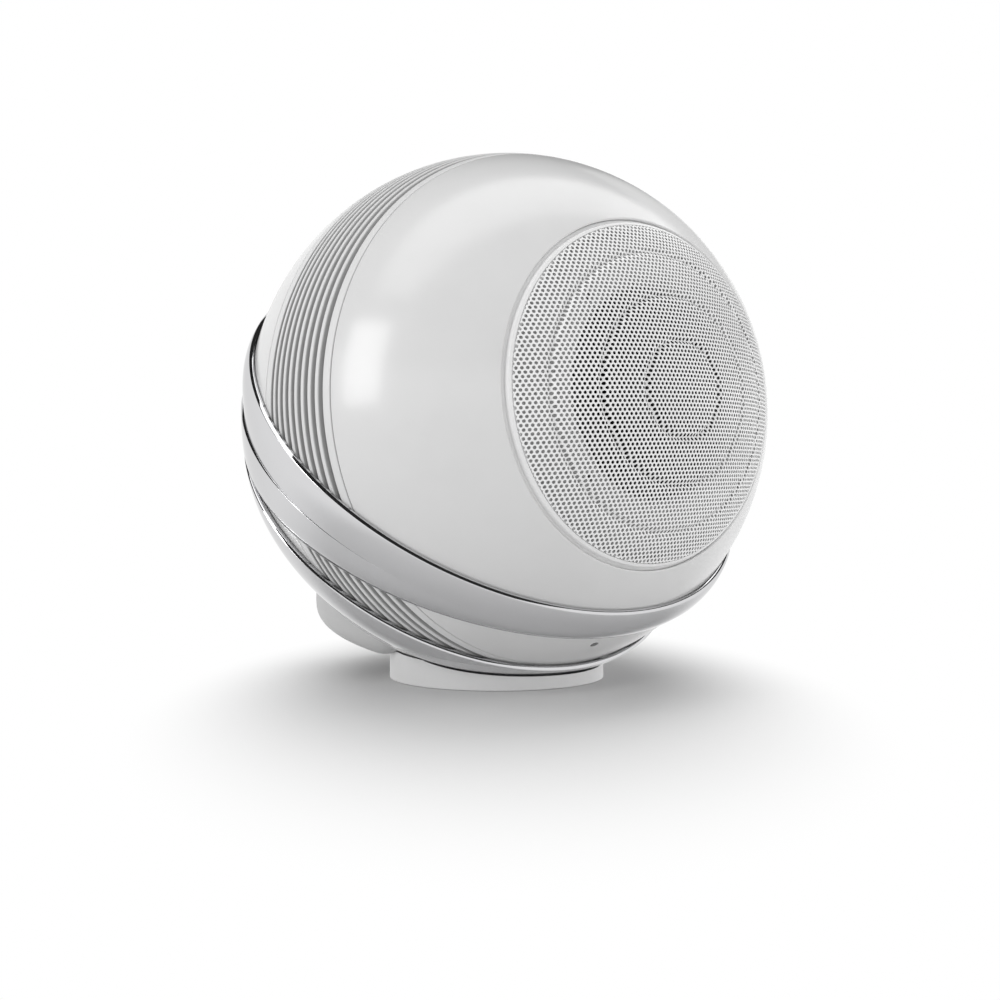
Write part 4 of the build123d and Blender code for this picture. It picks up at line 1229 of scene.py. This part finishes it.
# %% [markdown]
# Chrome has no colour of its own: it is only as lively as what it mirrors. In an all-white room it turns white
# and its edges vanish, so a photographer hangs black cloth above the set. The cloth here is a dome cap. Its edge
# hangs a little over the horizon in front and rises behind, where a white wall stays open below it:
# edge(a) = front + (back - front) ((1 + cos(a - heading)) / 2)^4. Only mirror rays see it, so it takes no light
# from the set.

# %% Black cloth
cloth_reach = 2.4
cloth_front, cloth_back = 12.5, 44.0
back_heading = 95.0
wall_power = 4


def cloth_cap(rings=12, steps=72):
    """Cap of a sphere up to the zenith; its edge hangs low in front and high over the white wall behind."""
    angle = ring_angles(steps)
    behind = (0.5 + 0.5 * np.cos(angle - math.radians(back_heading))) ** wall_power
    start = cloth_front + (cloth_back - cloth_front) * behind
    rise = np.radians(start + (90 - start) * np.linspace(0, 1, rings)[None, :])
    return cloth_reach * around(np.cos(rise), angle, np.sin(rise)) + centre


cloth = ring_piece("black_cloth", cloth_cap(), False, weld=pole_weld)
paint(cloth, materials["black_rubber"])
for kind in ("camera", "diffuse", "transmission", "volume_scatter", "shadow"):
    setattr(cloth, "visible_" + kind, False)

# %% [markdown]
# The floor is a wide pale disc. Near the speaker it is a plain matt surface that takes the shadow; further out
# it turns into the white of the background, so that no horizon shows. The change follows an oval that is long in
# the camera's heading, because a low camera flattens it. A mirror sees the floor by its angle instead: matt
# straight below and white far out, which gives the hoops their soft shading.

# %% Floor look
white_start, white_full = 0.055, 0.138
white_stretch = 1.94
floor_bounce, floor_seen, floor_rough = 0.78, 0.67, 0.8
graze_start, graze_full = 0.42, 0.8


def mirrored_share(tree, share):
    """Node for the share of white light: as given to the camera; to a mirror it grows with a low angle."""
    low = smooth_range(tree, graze_start, graze_full)
    pick = add_node(tree, "Mix")
    join(tree, (add_node(tree, "LayerWeight"), "Facing", low, "Value"), (share, 0, pick, "A"),
         (add_node(tree, "LightPath"), "Is Glossy Ray", pick, "Factor"), (low, "Result", pick, "B"))
    return pick


def floor_tone(tree):
    """Node for the matt floor's colour: a shade deeper to the camera than in the light that it throws back."""
    greys = {"A": (*[floor_bounce] * 3, 1), "B": (*[floor_seen] * 3, 1)}
    tone = add_node(tree, "Mix", greys, data_type="RGBA")
    join(tree, (add_node(tree, "LightPath"), "Is Camera Ray", tone, "Factor"))
    return tone


def floor_material():
    """Matt white that gives way to plain white light with distance from the speaker."""
    material, tree, shader = new_material("studio_floor")
    set_sockets(shader, {"Roughness": floor_rough, "Specular IOR Level": 0.0})
    mix = add_node(tree, "MixShader")
    stretch = {"Rotation": (0, 0, math.radians(camera_heading)), "Scale": (1, white_stretch, 1)}
    oval = add_node(tree, "Mapping", stretch, vector_type="TEXTURE")
    distance = add_node(tree, "VectorMath", operation="LENGTH")
    fade = smooth_range(tree, white_start, white_full)
    share = add_node(tree, "Math", operation="MULTIPLY")
    join(tree, (floor_tone(tree), "Result", shader, "Base Color"),
         (add_node(tree, "TexCoord"), "Object", oval, "Vector"), (oval, "Vector", distance, 0),
         (distance, "Value", fade, "Value"), (fade, "Result", share, 0), (seen_directly(tree), 0, share, 1),
         (mirrored_share(tree, share), "Result", mix, "Fac"), (shader, "BSDF", mix, 1),
         (add_node(tree, "Emission"), "Emission", mix, 2),
         (mix, "Shader", tree.nodes["Material Output"], "Surface"))
    return material


studio_floor = floor_material()
print("floor nodes", len(studio_floor.node_tree.nodes))

# %% [markdown]
# The disc itself is a few rings of points on the table's plane, far wider than the picture.

# %% Floor
floor_rings = np.array([0.0, 0.3, 1.0, 4.0])
floor_steps = 96
floor = ring_piece("floor", around(floor_rings, ring_angles(floor_steps), 0.0), False, weld=pole_weld)
paint(floor, studio_floor)
